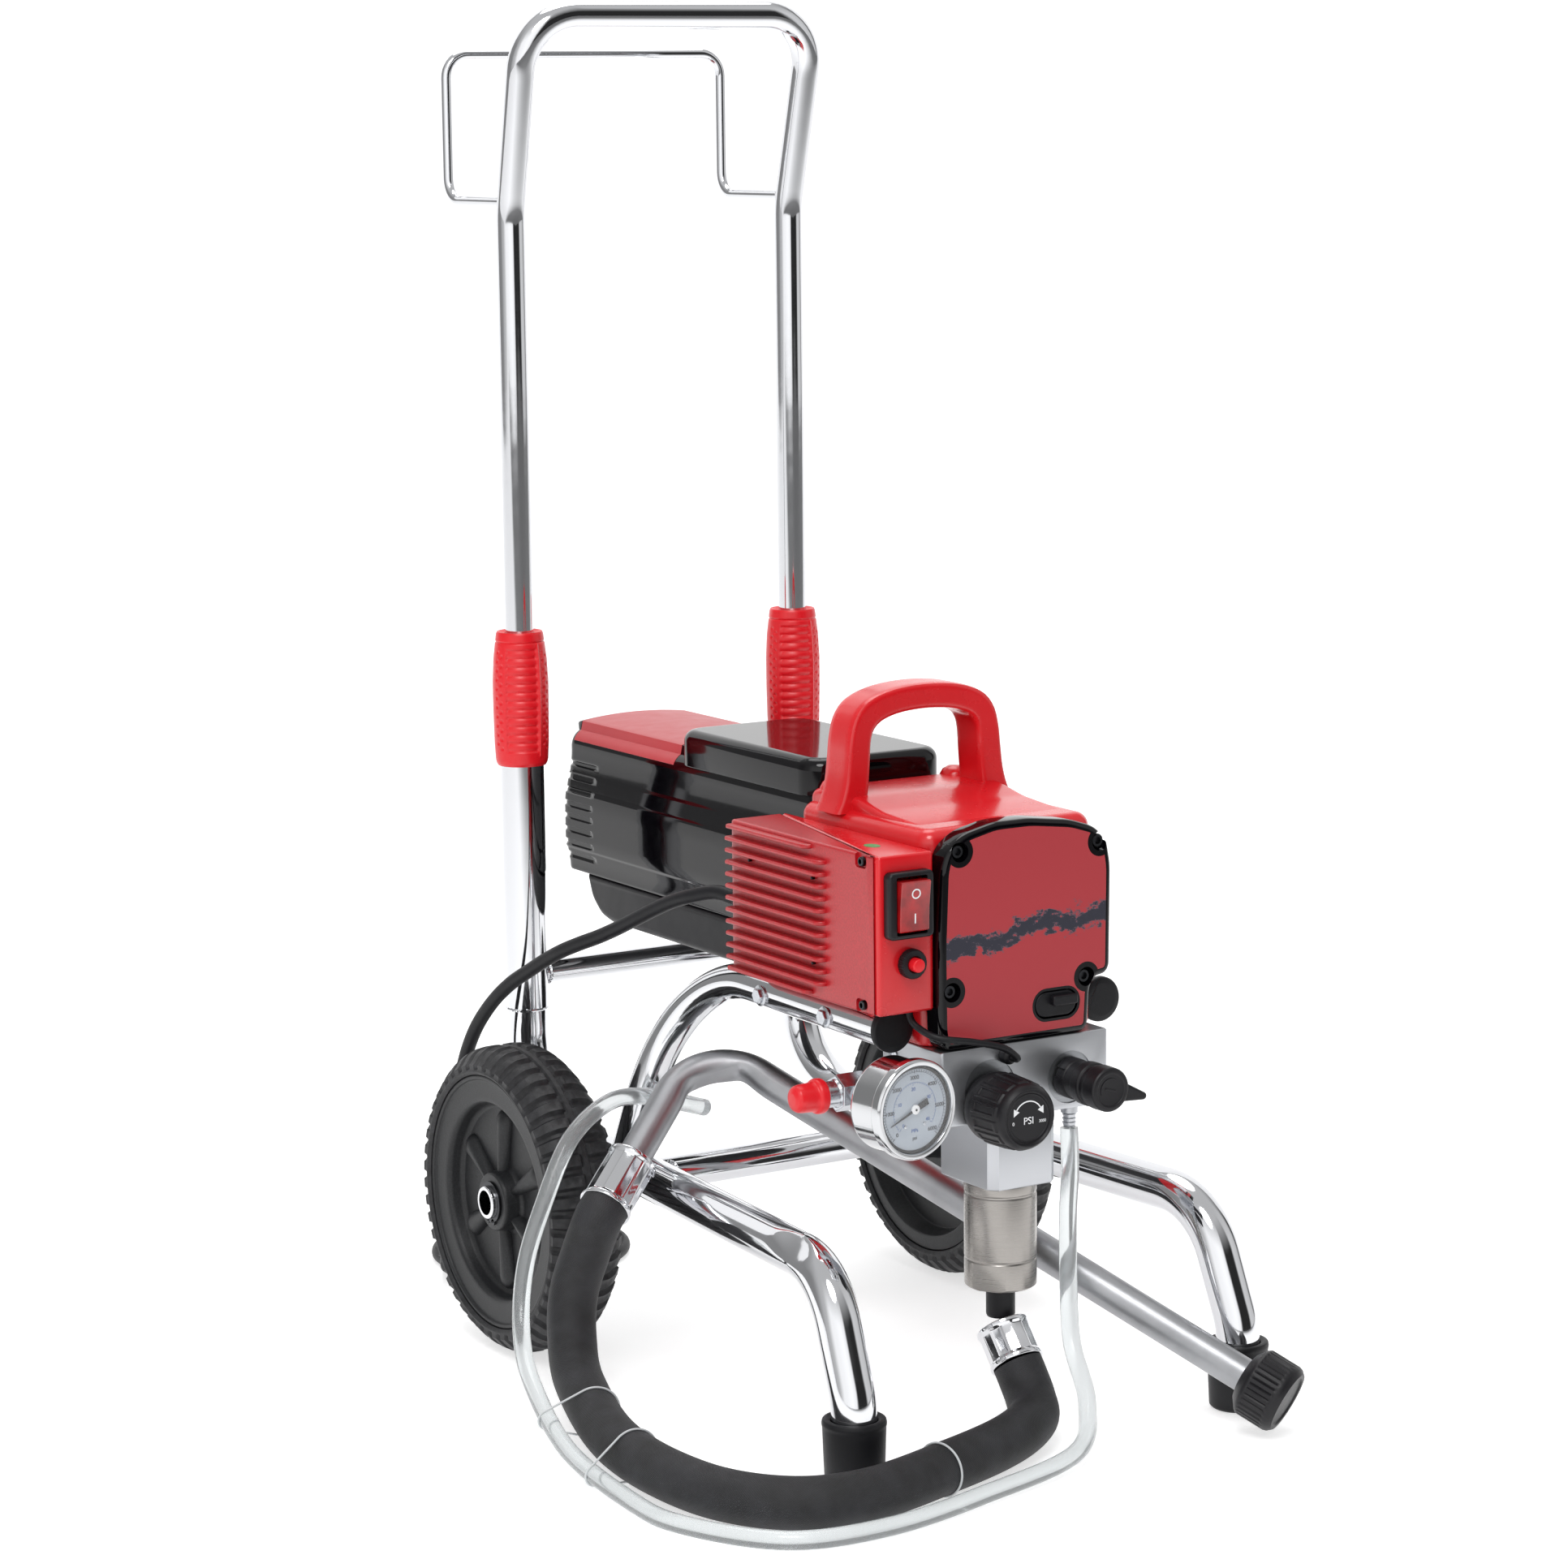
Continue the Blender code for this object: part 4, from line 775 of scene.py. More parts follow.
suction = {"hose": 0.036, "ferrule": 0.04, "tube": 0.025}
footMiddle = centre("lower_ferrule")
ferruleAxis = np.array([0, -math.sin(math.radians(40)), -math.cos(math.radians(40))])
hoseFoot = footMiddle + ferruleAxis * 0.015
cornerAt, strainerEnd, hoseTop = at(-0.092, -0.0975, 0.245), at(0.135, -0.468, 0.04), at(-0.212, -0.158,
    0.146)
upDirection = (hoseTop - cornerAt) / np.linalg.norm(hoseTop - cornerAt)
hoseKnots = [hoseFoot, hoseFoot + ferruleAxis * 0.01, at(-0.003, -0.4, 0.029), at(-0.014, -0.418, 0.0215),
             at(-0.052, -0.442, 0.0192), at(-0.112, -0.464, 0.0187), at(-0.195, -0.485, 0.0186),
             at(-0.25, -0.468, 0.0186), at(-0.282, -0.408, 0.0186), at(-0.285, -0.306, 0.021),
             at(-0.26, -0.205, 0.033), at(-0.243, -0.162, 0.056), at(-0.234, -0.15, 0.085),
             at(-0.224, -0.152, 0.115), hoseTop + upDirection * 0.01, hoseTop]
hosePath = smoothPath(hoseKnots, 0.004)
hose = cordTube("rubber_hose", hosePath, suction["hose"], hoseSkin, ("suction_hose",), 40)


drain = {"outer": 0.013}
barbEnd = at(0.046, -0.378, 0.2157)
drainKnots = [barbEnd, at(0.046, -0.379, 0.185), at(0.045, -0.378, 0.15), at(0.044, -0.38, 0.1),
              at(0.04, -0.39, 0.06), at(0.026, -0.428, 0.028), at(-0.016, -0.472, 0.011),
              at(-0.112, -0.5, 0.0072), at(-0.2, -0.518, 0.007), at(-0.27, -0.504, 0.007),
              at(-0.312, -0.44, 0.007), at(-0.318, -0.38, 0.0075), at(-0.312, -0.28, 0.015),
              at(-0.292, -0.19, 0.038), at(-0.278, -0.15, 0.065), at(-0.264, -0.132, 0.105),
              at(-0.247, -0.128, 0.145), at(-0.215, -0.113, 0.188), at(-0.172, -0.095, 0.207),
              at(-0.135, -0.086, 0.205), at(-0.1, -0.08, 0.194), at(-0.075, -0.07, 0.185)]
drainPath = smoothPath(drainKnots, 0.005)
drainTube = cordTube("drain_tube", drainPath, drain["outer"], clear, ("return_tube",), 28)


def hullRing(middleA, radiusA, middleB, radiusB, forward, thick=0.0008):
    # a thin wire tie drawn tight round two neighbouring hoses: at each angle it touches the one further out
    x, y, z, origin = along(middleA, forward)
    offset = np.array([(middleB - middleA) @ x, (middleB - middleA) @ y])
    a = np.arange(72) * 2 * math.pi / 72
    d = np.stack([np.cos(a), np.sin(a)], -1)
    second = d @ offset + radiusB > radiusA
    flat = np.where(second[:, None], offset + d * radiusB, d * radiusA)
    path = origin + flat[:, :1] * x + flat[:, 1:] * y
    section = circle(thick, 8)
    out = d[:, :1] * x + d[:, 1:] * y
    grid = path[:, None] + section[None, :, :1] * out[:, None] + section[None, :, 1:] * z
    return grid.reshape(-1, 3), [quadGrid(72, 8, closeRows=True)[:, ::-1]]


def wireTies():
    ties = []
    for share, reach in ((0.62, 1), (0.73, 1), (0.24, 0)):
        i = int(share * (len(hosePath) - 1))
        here, forward = hosePath[i], hosePath[i + 2] - hosePath[i - 2]
        other = drainPath[np.argmin(np.linalg.norm(drainPath - here, axis=1))]
        forward = forward / np.linalg.norm(forward)
        other = other - forward * ((other - here) @ forward)
        near = reach and np.linalg.norm(other - here) < 0.06
        ties.append(hullRing(here, 0.0188, other if near else here, 0.0073 if near else 0.0188, forward))
    return build("wire_ties", ties, plainInk("tieWire", "C9CCCE", 0.35), "cart")


ties = wireTies()

sensorKnots = [at(-0.086, -0.373, 0.3167), at(-0.086, -0.373, 0.3125), at(-0.0845, -0.379, 0.306),
               at(-0.078, -0.396, 0.3), at(-0.055, -0.406, 0.296), at(-0.033, -0.409, 0.29),
               at(-0.021, -0.4085, 0.282), at(-0.018, -0.405, 0.279), at(-0.018, -0.3998, 0.279)]
sensorPath = smoothPath(sensorKnots, 0.0025)
sensorCable = cordTube("sensor_cable", sensorPath, 0.005, rubber, ("sensor_lead",), 16)
print("cords: mains %.2f m, hose %.2f m, drain %.2f m" % (lengthOf(mainsPath), lengthOf(hosePath),
    lengthOf(drainPath)))

tubes = {"upright": 0.034, "wall": 0.0027, "rail": 0.032, "arm": 0.028, "bow": 0.022, "rack": 0.008,
         "around": 48}
halfX, uprightY = centre("right_upright")[0], centre("right_upright")[1]
railZ = centre("lower_cross_tube")[2]
footX, footY = centre("right_foot")[:2]
armX, armZ = centre("right_arm_cap")[0], centre("right_arm_cap")[2]
armFrontY = high("right_arm_cap")[1]
seamZ = low("right_upright")[2]


def railX(y):
    # the side rails splay evenly from the uprights to the feet
    rear, front = uprightY, footY + 0.036
    return halfX + (footX - 0.003 - halfX) * (rear - y) / (rear - front)


def weldBead(middle, axis, radius, width=0.0017, count=72):
    # a rippled ring of weld round a tube
    a = np.arange(count) * 2 * math.pi / count
    x, y, z, origin = along(middle, axis)
    ring = middle + radius * (np.cos(a)[:, None] * x + np.sin(a)[:, None] * y)
    out = np.cos(a)[:, None] * x + np.sin(a)[:, None] * y
    section = circle(1.0, 8)
    size = width * (1 + 0.16 * np.cos(a * 24))
    grid = ring[:, None] + size[:, None, None] * (section[None, :, :1] * out[:, None] + section[None, :,
        1:] * z)
    faces = quadGrid(count, 8, closeRows=True)[:, ::-1]
    return grid.reshape(-1, 3), [faces]


def dented(shape, place, direction, radius, keep, reach):
    # flattens one side of a tube near a place: points beyond keep * radius along the direction are pulled in
    points, faces = shape
    d = np.array(direction) / np.linalg.norm(direction)
    near = np.exp(-(np.linalg.norm(points - place, axis=1) / reach) ** 4)
    across = (points - place) @ d
    over = np.clip(across - keep * radius, 0, None)
    return points - (near * over)[:, None] * d, faces


def frameTubes():
    for side, s in sides:
        corners = [(s * halfX, uprightY, seamZ), (s * halfX, uprightY, railZ, 0.07),
                   (s * railX(footY + 0.036), footY + 0.036, railZ, 0.06),
                   (s * footX, footY, 0.06, 0.05), (s * footX, footY, 0.0062)]
        path = evened(bent(corners, 2), 0.004)
        shape = sweep(path, circle(tubes["rail"] / 2, tubes["around"]))
        if side == "left":
            spot = path[np.argmin(np.abs(path[:, 1] - (footY + 0.066)) + np.abs(path[:, 2] - railZ))]
            shape = dented(shape, spot, (-0.75, 0, 0.66), tubes["rail"] / 2, 0.72, 0.028)
        build(side + "_rail_tube", shape, chrome, "cart", (side + "_side_rail",))
        outer, inner = tubes["upright"] / 2, tubes["upright"] / 2 - tubes["wall"]
        top = high(side + "_upright")[2]
        profile = [(outer, seamZ), (outer, top), (inner, top), (inner, seamZ)]
        shapes = [placed(revolve(profile, tubes["around"]), axes((1, 0, 0), (0, 1, 0), (0, 0, 1),
            (s * halfX, uprightY, 0)))]
        shapes.append(weldBead(np.array([s * halfX, uprightY, seamZ - 0.0003]), (0, 0, 1), outer - 0.0009,
            0.0014))
        build(side + "_upright_tube", shapes, chrome, "cart", (side + "_upright",))
        corners = [(s * railX(at(0, -0.06, 0)[1]), *at(0, -0.06, railZ)[1:]),
                   (s * armX, *at(0, -0.06, armZ)[1:], 0.11),
                   (s * armX, armFrontY, armZ)]
        shapes = [sweep(evened(bent(corners, 3), 0.004), circle(tubes["arm"] / 2, tubes["around"]))]
        foot = np.array(corners[0])
        rise = (np.array(corners[1][:3]) - foot) / np.linalg.norm(np.array(corners[1][:3]) - foot)
        shapes.append(weldBead(foot + rise * (tubes["rail"] / 2 - 0.0012), rise, tubes["arm"] / 2 + 0.0005,
            0.0018))
        build(side + "_arm_tube", shapes, chrome, "cart", (side + "_arm",))
        cap = [(0, -0.006), (0.0138, -0.006), (0.0138, 0), (0.0165, 0.0003), (0.0165, 0.004),
               (0.0155, 0.0054), (0.012, 0.006), (0, 0.006)]
        turnedPiece(side + "_arm_plug", cap, facing((s * armX, armFrontY, armZ)), rubber, "cart",
                    (side + "_arm_cap",), 48)


def crossTubes():
    for name, beads in (("upper_cross_tube", 0.0013), ("lower_cross_tube", 0.0015)):
        lowest, highest, middle = low(name), high(name), centre(name)
        radius = (highest[2] - lowest[2]) / 2
        ends = [(lowest[0] - 0.003, middle[1], middle[2]), (highest[0] + 0.003, middle[1], middle[2])]
        shapes = [sweep(np.array([ends[0], middle, ends[1]]), circle(radius, 40))]
        shapes += [weldBead(np.array([x, middle[1], middle[2]]), (1, 0, 0), radius + 0.0003, beads)
                   for x in (lowest[0] + 0.0002, highest[0] - 0.0002)]
        build(name + "_bar", shapes, chrome, "cart", (name,))


def handleTubes():
    bendZ, topZ, topY = 0.858, 1.0065, at(0, 0.0845, 0)[1]
    foot = low("handle_bow")[2]
    corners = [(-halfX, uprightY, foot), (-halfX, uprightY, bendZ, 0.08), (-halfX - 0.003, topY, topZ, 0.042),
               (halfX + 0.003, topY, topZ, 0.042), (halfX, uprightY, bendZ, 0.08), (halfX, uprightY, foot)]
    build("bow_tube", sweep(evened(bent(corners, 2.5), 0.005), circle(tubes["bow"] / 2, tubes["around"])),
          chrome, "handle", ("handle_bow",))
    start, rear, low_, high_ = uprightY + 0.004, at(0, 0.222, 0)[1], 0.866, 0.979
    corners = [(-halfX, start, low_), (-halfX, rear, low_, 0.018), (-halfX, rear, high_, 0.018),
               (halfX, rear, high_, 0.018), (halfX, rear, low_, 0.018), (halfX, start, low_)]
    shapes = [sweep(evened(bent(corners, 6), 0.003), circle(tubes["rack"] / 2, 24))]
    shapes += [weldBead(np.array([s * halfX, uprightY + tubes["bow"] / 2 - 0.0006, low_]), (0, 1, 0),
        tubes["rack"] / 2 + 0.0004, 0.0012, 48) for s in (-1, 1)]
    build("rack_wire", shapes, chrome, "handle", ("hose_rack",))


print("frame tubes and handle")
frameTubes()
crossTubes()
handleTubes()


def axleAndClips():
    node = "axle"
    reach, radius = high(node)[0], (high(node)[2] - low(node)[2]) / 2
    profile = softened([(radius - 0.003, -reach), (radius - 0.0006, -reach), (radius, -reach + 0.0006),
        (radius, reach - 0.0006),
                        (radius - 0.0006, reach), (radius - 0.003, reach), (radius - 0.003, -reach)], 0.0003)
    build("axle_tube", placed(revolve(profile[:-1], 56), rightward((0, axleY, axleZ))), chrome, "cart",
          (node,))
    for side, s in sides:
        to = leftward if s < 0 else rightward
        outer, inner, gapHalf = radius + 0.0032, radius + 0.0002, 14
        bow = arc(0, 0, outer, -90 + gapHalf, 270 - gapHalf, 56)
        eyes = [(np.cos(a) * (radius + 0.003), np.sin(a) * (radius + 0.003))
                for a in np.radians([270 - gapHalf - 2, -90 + gapHalf + 2])]
        outline = bow + arc(eyes[0][0], eyes[0][1], 0.0024, 180, 360, 8) + arc(0, 0, inner, 270 - gapHalf,
            -90 + gapHalf, 56)
        outline += arc(eyes[1][0], eyes[1][1], 0.0024, 180, 350, 8)
        place = abs(centre(side + "_circlip")[0])
        ring = revolve([(inner, -0.0007), (outer, -0.0007), (outer, 0.0007), (inner, 0.0007)], 56)
        shapes = [ring] + [(p + np.array([x, y, 0]), f) for (x, y) in eyes for p,
            f in [revolve([(0.0008, -0.0007), (0.0024, -0.0007), (0.0024, 0.0007), (0.0008, 0.0007)], 20)]]
        build(side + "_clip_ring", [placed(shape, to((s * place, axleY, axleZ))) for shape in shapes],
              darkSteel, "cart", (side + "_circlip",))


wheel = {"lugs": 48, "lugHeight": 0.0033, "steps": 576, "spokes": 6}


def tyreShape(inner, outer):
    # carcass profile carried round the axle; tread blocks are pushed out along its normal where the pulse
    # of the angle is high, half a pitch apart on the two sides of a centre rib
    middle = (inner + outer) / 2
    half = (outer - inner) / 2
    carcass = np.array([(0.0973, half - 0.0035), (0.099, half - 0.0014), (0.101, half - 0.0014),
        (0.1022, half - 0.0034),
                        (0.105, half - 0.0062), (0.11, half - 0.0105), (0.1136, half - 0.0165),
                        (0.1142, half - 0.022),
                        (0.1142, 0), (0.1142, -half + 0.022), (0.1136, -half + 0.0165),
                        (0.11, -half + 0.0105),
                        (0.105, -half + 0.0062), (0.1022, -half + 0.0034), (0.101, -half + 0.0014),
                        (0.099, -half + 0.0014),
                        (0.0973, -half + 0.0035)])[::-1]
    line = softened(carcass, 0.0016, 3)
    steps = np.linalg.norm(np.diff(line, axis=0), axis=1)
    gone = np.concatenate([[0], np.cumsum(steps)])
    even = np.linspace(0, gone[-1], 68)
    line = np.stack([np.interp(even, gone, line[:, i]) for i in (0, 1)], 1)
    slope = np.gradient(line, axis=0)
    normal = np.stack([slope[:, 1], -slope[:, 0]], 1) / np.linalg.norm(slope, axis=1)[:, None]
    angle = np.arange(wheel["steps"]) * 2 * math.pi / wheel["steps"]
    z = line[:, 1][:, None]
    phase = np.mod(angle[None, :] * wheel["lugs"] / (2 * math.pi) + np.where(z > 0, 0.0, 0.5), 1.0)
    away = np.abs(phase - 0.5)
    block_ = 1 - smoothstep(away, 0.29, 0.36)
    envelope = smoothstep(line[:, 0], 0.1012, 0.1024)[:, None]
    rib = 1 - smoothstep(np.abs(z), 0.0022, 0.0034)
    split = smoothstep(np.abs(z), 0.0034, 0.0046)
    raised = np.maximum(block_ * split, 0.75 * rib) * envelope
    sunk = (1 - smoothstep(away, 0.13, 0.2)) * smoothstep(np.abs(z), 0.0078,
        0.0088) * (1 - smoothstep(np.abs(z), 0.016, 0.017))
    lift = wheel["lugHeight"] * raised - 0.0009 * sunk * block_
    r = line[:, :1] + normal[:, :1] * lift
    w = middle + line[:, 1:] + normal[:, 1:] * lift
    points = np.stack([r * np.cos(angle), r * np.sin(angle), w], -1).reshape(-1, 3)
    return points, [quadGrid(len(line), wheel["steps"], closeRows=True)]


def rimShape(inner, outer):
    # turned rim: outer step ring, wide flange, deep dish with a closed web, and a hub boss
    face = outer - 0.004
    profile = [(0.0128, inner + 0.001), (0.021, inner + 0.001), (0.023, inner + 0.016),
               (0.081, inner + 0.018),
               (0.085, inner + 0.003), (0.0968, inner + 0.004), (0.097, face - 0.0006), (0.0962, face),
               (0.0938, face),
               (0.0932, face - 0.0022), (0.079, face - 0.0028), (0.0765, face - 0.0034),
               (0.0748, face - 0.0062),
               (0.0736, face - 0.013), (0.0712, face - 0.0158), (0.0262, face - 0.0158),
               (0.0236, face - 0.014),
               (0.0226, face - 0.004), (0.0216, face - 0.0019), (0.0128, face - 0.0019)]
    shapes = [revolve(softened(profile, 0.0012, 3)[:, :], 144)]
    floor = face - 0.0158
    t = np.linspace(0, 1, 30)
    reach = 0.0225 + (0.0705 - 0.0225) * t
    width = (0.0042 + 0.0068 * t) * np.sqrt(np.clip(1 - (np.clip(reach - 0.06, 0, None) / 0.0106) ** 2,
        0.0004, 1))
    height = (0.0092 - 0.0012 * t) * np.sqrt(np.clip(1 - (np.clip(reach - 0.059, 0, None) / 0.0118) ** 2,
        0.0004, 1))
    a = np.arange(24) * 2 * math.pi / 24
    grid = np.stack([reach[:, None] + 0 * a, width[:, None] * np.cos(a),
        floor - 0.001 + height[:, None] * np.maximum(np.sin(a), -0.05)], -1)
    faces = [quadGrid(30, 24), np.arange(24)[::-1][None], (29 * 24 + np.arange(24))[None]]
    for i in range(wheel["spokes"]):
        shapes.append(spun((grid.reshape(-1, 3), faces), math.radians(30 + 60 * i)))
    return merged(shapes)


def wheels():
    for side, s in sides:
        to = (leftward if s < 0 else rightward)((0, axleY, axleZ))
        reach = np.abs([low(side + "_tyre")[0], high(side + "_tyre")[0]])
        inner, outer = reach.min() - 0.001, reach.max() + 0.001
        build(side + "_tread", placed(tyreShape(inner, outer), to), tyre, side + "_wheel",
              (side + "_tyre",), sharp=32)
        build(side + "_dish", placed(rimShape(inner, outer), to), nylon, side + "_wheel", (side + "_rim",),
              sharp=40)


print("axle and wheels")
axleAndClips()
wheels()


def feet():
    # soft cap with a rolled upper edge over the end of each leg
    for side, s in sides:
        r = tubes["rail"] / 2 + 0.0005
        profile = [(0, 0), (r + 0.0018, 0), (r + 0.004, 0.0022), (r + 0.0048, 0.02), (r + 0.0056, 0.044),
                   (r + 0.0062, 0.0465),
                   (r + 0.0055, 0.0495), (r + 0.003, 0.05), (r, 0.0488), (r, 0.006), (0, 0.006)]
        middle = centre(side + "_foot")
        turnedPiece(side + "_foot_cap", profile, axes((1, 0, 0), (0, 1, 0), (0, 0, 1),
            (middle[0], middle[1], 0)), rubber, "cart", (side + "_foot",), 56, 0.0009)


grip = {"ribs": 12, "ribDepth": 0.0016, "dimple": 0.0034, "panel": (-153, -77)}


def gripShape(bottom, top):
    # barrel whose radius is displaced by ribs across the front panel and by rows of round dimples elsewhere
    z = np.concatenate([np.linspace(bottom, bottom + 0.004, 7), np.linspace(bottom + 0.004, top - 0.004,
        176)[1:], np.linspace(top - 0.004, top, 8)[1:]])
    share = (z - bottom) / (top - bottom)
    radius = np.interp(share, [0, 0.02, 0.04, 0.16, 0.4, 0.62, 0.8, 0.95, 0.985, 1.0],
        [0.0188, 0.02, 0.0205, 0.0212, 0.0217, 0.0218, 0.0208, 0.0189, 0.0184, 0.0176])
    kernel = np.hanning(9) / np.hanning(9).sum()
    radius[4:-4] = np.convolve(radius, kernel, "same")[4:-4]
    steps = 168
    angle = np.arange(steps) * 2 * math.pi / steps
    degrees = np.degrees(angle)[None, :] - 360.0 * (np.degrees(angle)[None, :] > 60)
    first, last = grip["panel"]
    s = share[:, None]
    inPanel = smoothstep(degrees, first, first + 5) * (1 - smoothstep(degrees, last - 5, last))
    band = smoothstep(s, 0.1, 0.13) * (1 - smoothstep(s, 0.86, 0.89))
    waves = np.abs(np.sin(math.pi * grip["ribs"] * (s - 0.115) / 0.76)) ** 0.55
    ribs = -grip["ribDepth"] * (1 - waves) * inPanel * band
    sink = -0.0007 * inPanel * band
    edge = 0.0009 * np.exp(-((degrees - last - 2.5) / 2.2) ** 2) * smoothstep(s, 0.05,
        0.09) * (1 - smoothstep(s, 0.9, 0.94))
    pitch = 0.0072
    lift = np.zeros((len(z), steps))
    for i, column in enumerate((-176, -164, -62, -48, -34, -20)):
        rows = np.mod((z - bottom) / pitch + 0.5 * (i % 2), 1.0)[:, None] - 0.5
        away = np.sqrt((rows * pitch) ** 2 + (np.radians(degrees - column) * 0.0215) ** 2) / (grip["dimple"]
            / 2)
        lift -= 0.0009 * np.clip(1 - away ** 2, 0, 1) * smoothstep(s, 0.1, 0.14) * (1 - smoothstep(s, 0.84,
            0.88))
    groove = -0.0008 * np.exp(-((s - 0.925) / 0.006) ** 2)
    r = radius[:, None] + ribs + sink + edge + lift + groove
    points = np.stack([r * np.cos(angle), r * np.sin(angle), z[:, None] + 0 * angle], -1).reshape(-1, 3)
    neck = np.array([(0.0166, top), (0.014, top - 0.0015), (0.0118, top - 0.0015), (0.0118, top - 0.034),
        (0.0176, top - 0.0345), (0.0176, bottom)])
    inner = np.stack([neck[:, :1] * np.cos(angle), neck[:, :1] * np.sin(angle), neck[:, 1:] + 0 * angle],
        -1).reshape(-1, 3)
    return np.vstack([points, inner]), [quadGrid(len(z) + len(neck), steps, closeRows=True)]


def grips():
    for side, s in sides:
        node = side + "_grip"
        shape = gripShape(low(node)[2], high(node)[2])
        build(node + "_sleeve", placed(shape, axes((1, 0, 0), (0, 1, 0), (0, 0, 1),
            (s * halfX, uprightY, 0))), gripRed, node, (node,), sharp=50)


print("feet and grips")
feet()
grips()


def prism(outline, bottom, top):
    # a plain straight-sided solid on an outline, for cutting
    p = np.asarray(outline, float)
    points = np.vstack([np.column_stack([p, np.full(len(p), z)]) for z in (bottom, top)])
    return points, [quadGrid(2, len(p)), np.arange(len(p))[::-1][None], (len(p) + np.arange(len(p)))[None]]


def finished(obj, sharp=38):
    obj.data.shade_smooth()
    obj.data.set_sharp_from_angle(angle=math.radians(sharp))
    return obj


def carve(obj, cutters, sharp=38):
    # takes the cutter shapes out of a finished piece and keeps the result as its mesh
    points, faces = merged(cutters)
    mesh = bpy.data.meshes.new("cutter")
    mesh.from_pydata(points.tolist(), [], [row for part in faces for row in np.asarray(part).tolist()])
    cutter = bpy.data.objects.new("cutter", mesh)
    bpy.context.scene.collection.objects.link(cutter)
    made = obj.modifiers.new("Pocket", "BOOLEAN")
    made.object, made.operation, made.solver, made.use_self = cutter, "DIFFERENCE", "EXACT", True
    bpy.context.view_layer.update()
    result = bpy.data.meshes.new_from_object(obj.evaluated_get(bpy.context.evaluated_depsgraph_get()))
    obj.modifiers.clear()
    obj.data = result
    bpy.data.objects.remove(cutter, do_unlink=True)
    return finished(obj, sharp)


def letters(words, size, to, depth=0.0002):
    # lettering as a thin solid, lying in the plane that a placement gives
    data = bpy.data.curves.new("words", "FONT")
    data.body, data.size, data.extrude = words, size, depth / 2
    data.align_x, data.align_y = "CENTER", "CENTER"
    obj = bpy.data.objects.new("words", data)
    bpy.context.scene.collection.objects.link(obj)
    bpy.context.view_layer.update()
    mesh = bpy.data.meshes.new_from_object(obj.evaluated_get(bpy.context.evaluated_depsgraph_get()))
    points = np.array([v.co[:] for v in mesh.vertices])
    faces = [np.array([list(p.vertices)]) for p in mesh.polygons]
    bpy.data.objects.remove(obj, do_unlink=True)
    return placed((points, faces), to)


def socketScrew(radius=0.0032, height=0.002):
    # a round head with a hexagon socket
    profile = [(0, 0), (radius, 0), (radius, height * 0.8), (radius - 0.0005, height),
               (radius * 0.55, height), (radius * 0.5, height * 0.35), (0, height * 0.35)]
    return revolve(profile, 24)


def hexHead(radius=0.0058, height=0.0042):
    # flanged hexagon bolt head
    flange = revolve(softened([(0, 0), (radius * 1.35, 0), (radius * 1.35, 0.0009), (radius * 0.9, 0.0014),
        (0, 0.0014)], 0.0002), 36)
    a = np.radians(np.arange(6) * 60)
    head = slab(np.stack([radius * np.cos(a), radius * np.sin(a)], -1), 0.001, height, 0.0006)
    return merged([flange, head])


motor = {"half": 0.0637, "rear": 0.1702, "front": -0.2047, "split": 0.3333, "top": 0.456, "ribs": 5}


def sideRelief(x, z, rear):
    # how far a point of the side moves in: a lean to the top and bottom, long steps, and grooves at the rear
    half, split = motor["half"], motor["split"]
    lean = 0.0055 * smoothstep(z, 0.385, 0.43) + 0.0035 * (1 - smoothstep(z, split, 0.362))
    steps = 0.0008 * (smoothstep(z, 0.4115, 0.4125) + smoothstep(z, 0.3985, 0.3995)
        + (1 - smoothstep(z, 0.3515, 0.3525)))
    wave = np.cos(2 * math.pi * (z - 0.346) / 0.0105) > 0.25
    grooves = 0.0016 * rear * wave * smoothstep(z, 0.343, 0.345) * (1 - smoothstep(z, 0.42, 0.422))
    return (lean + steps + grooves) * smoothstep(x, half - 0.016, half - 0.01)


def crownSection():
    # right half of the hood's top edge: a round shoulder, then a low crown to the middle
    shoulder = arc(motor["half"] - 0.014, 0.433, 0.014, 2, 62, 10)
    return shoulder + [(x, motor["top"] - 0.004 * (x / 0.052) ** 2) for x in np.linspace(0.05, 0, 14)]


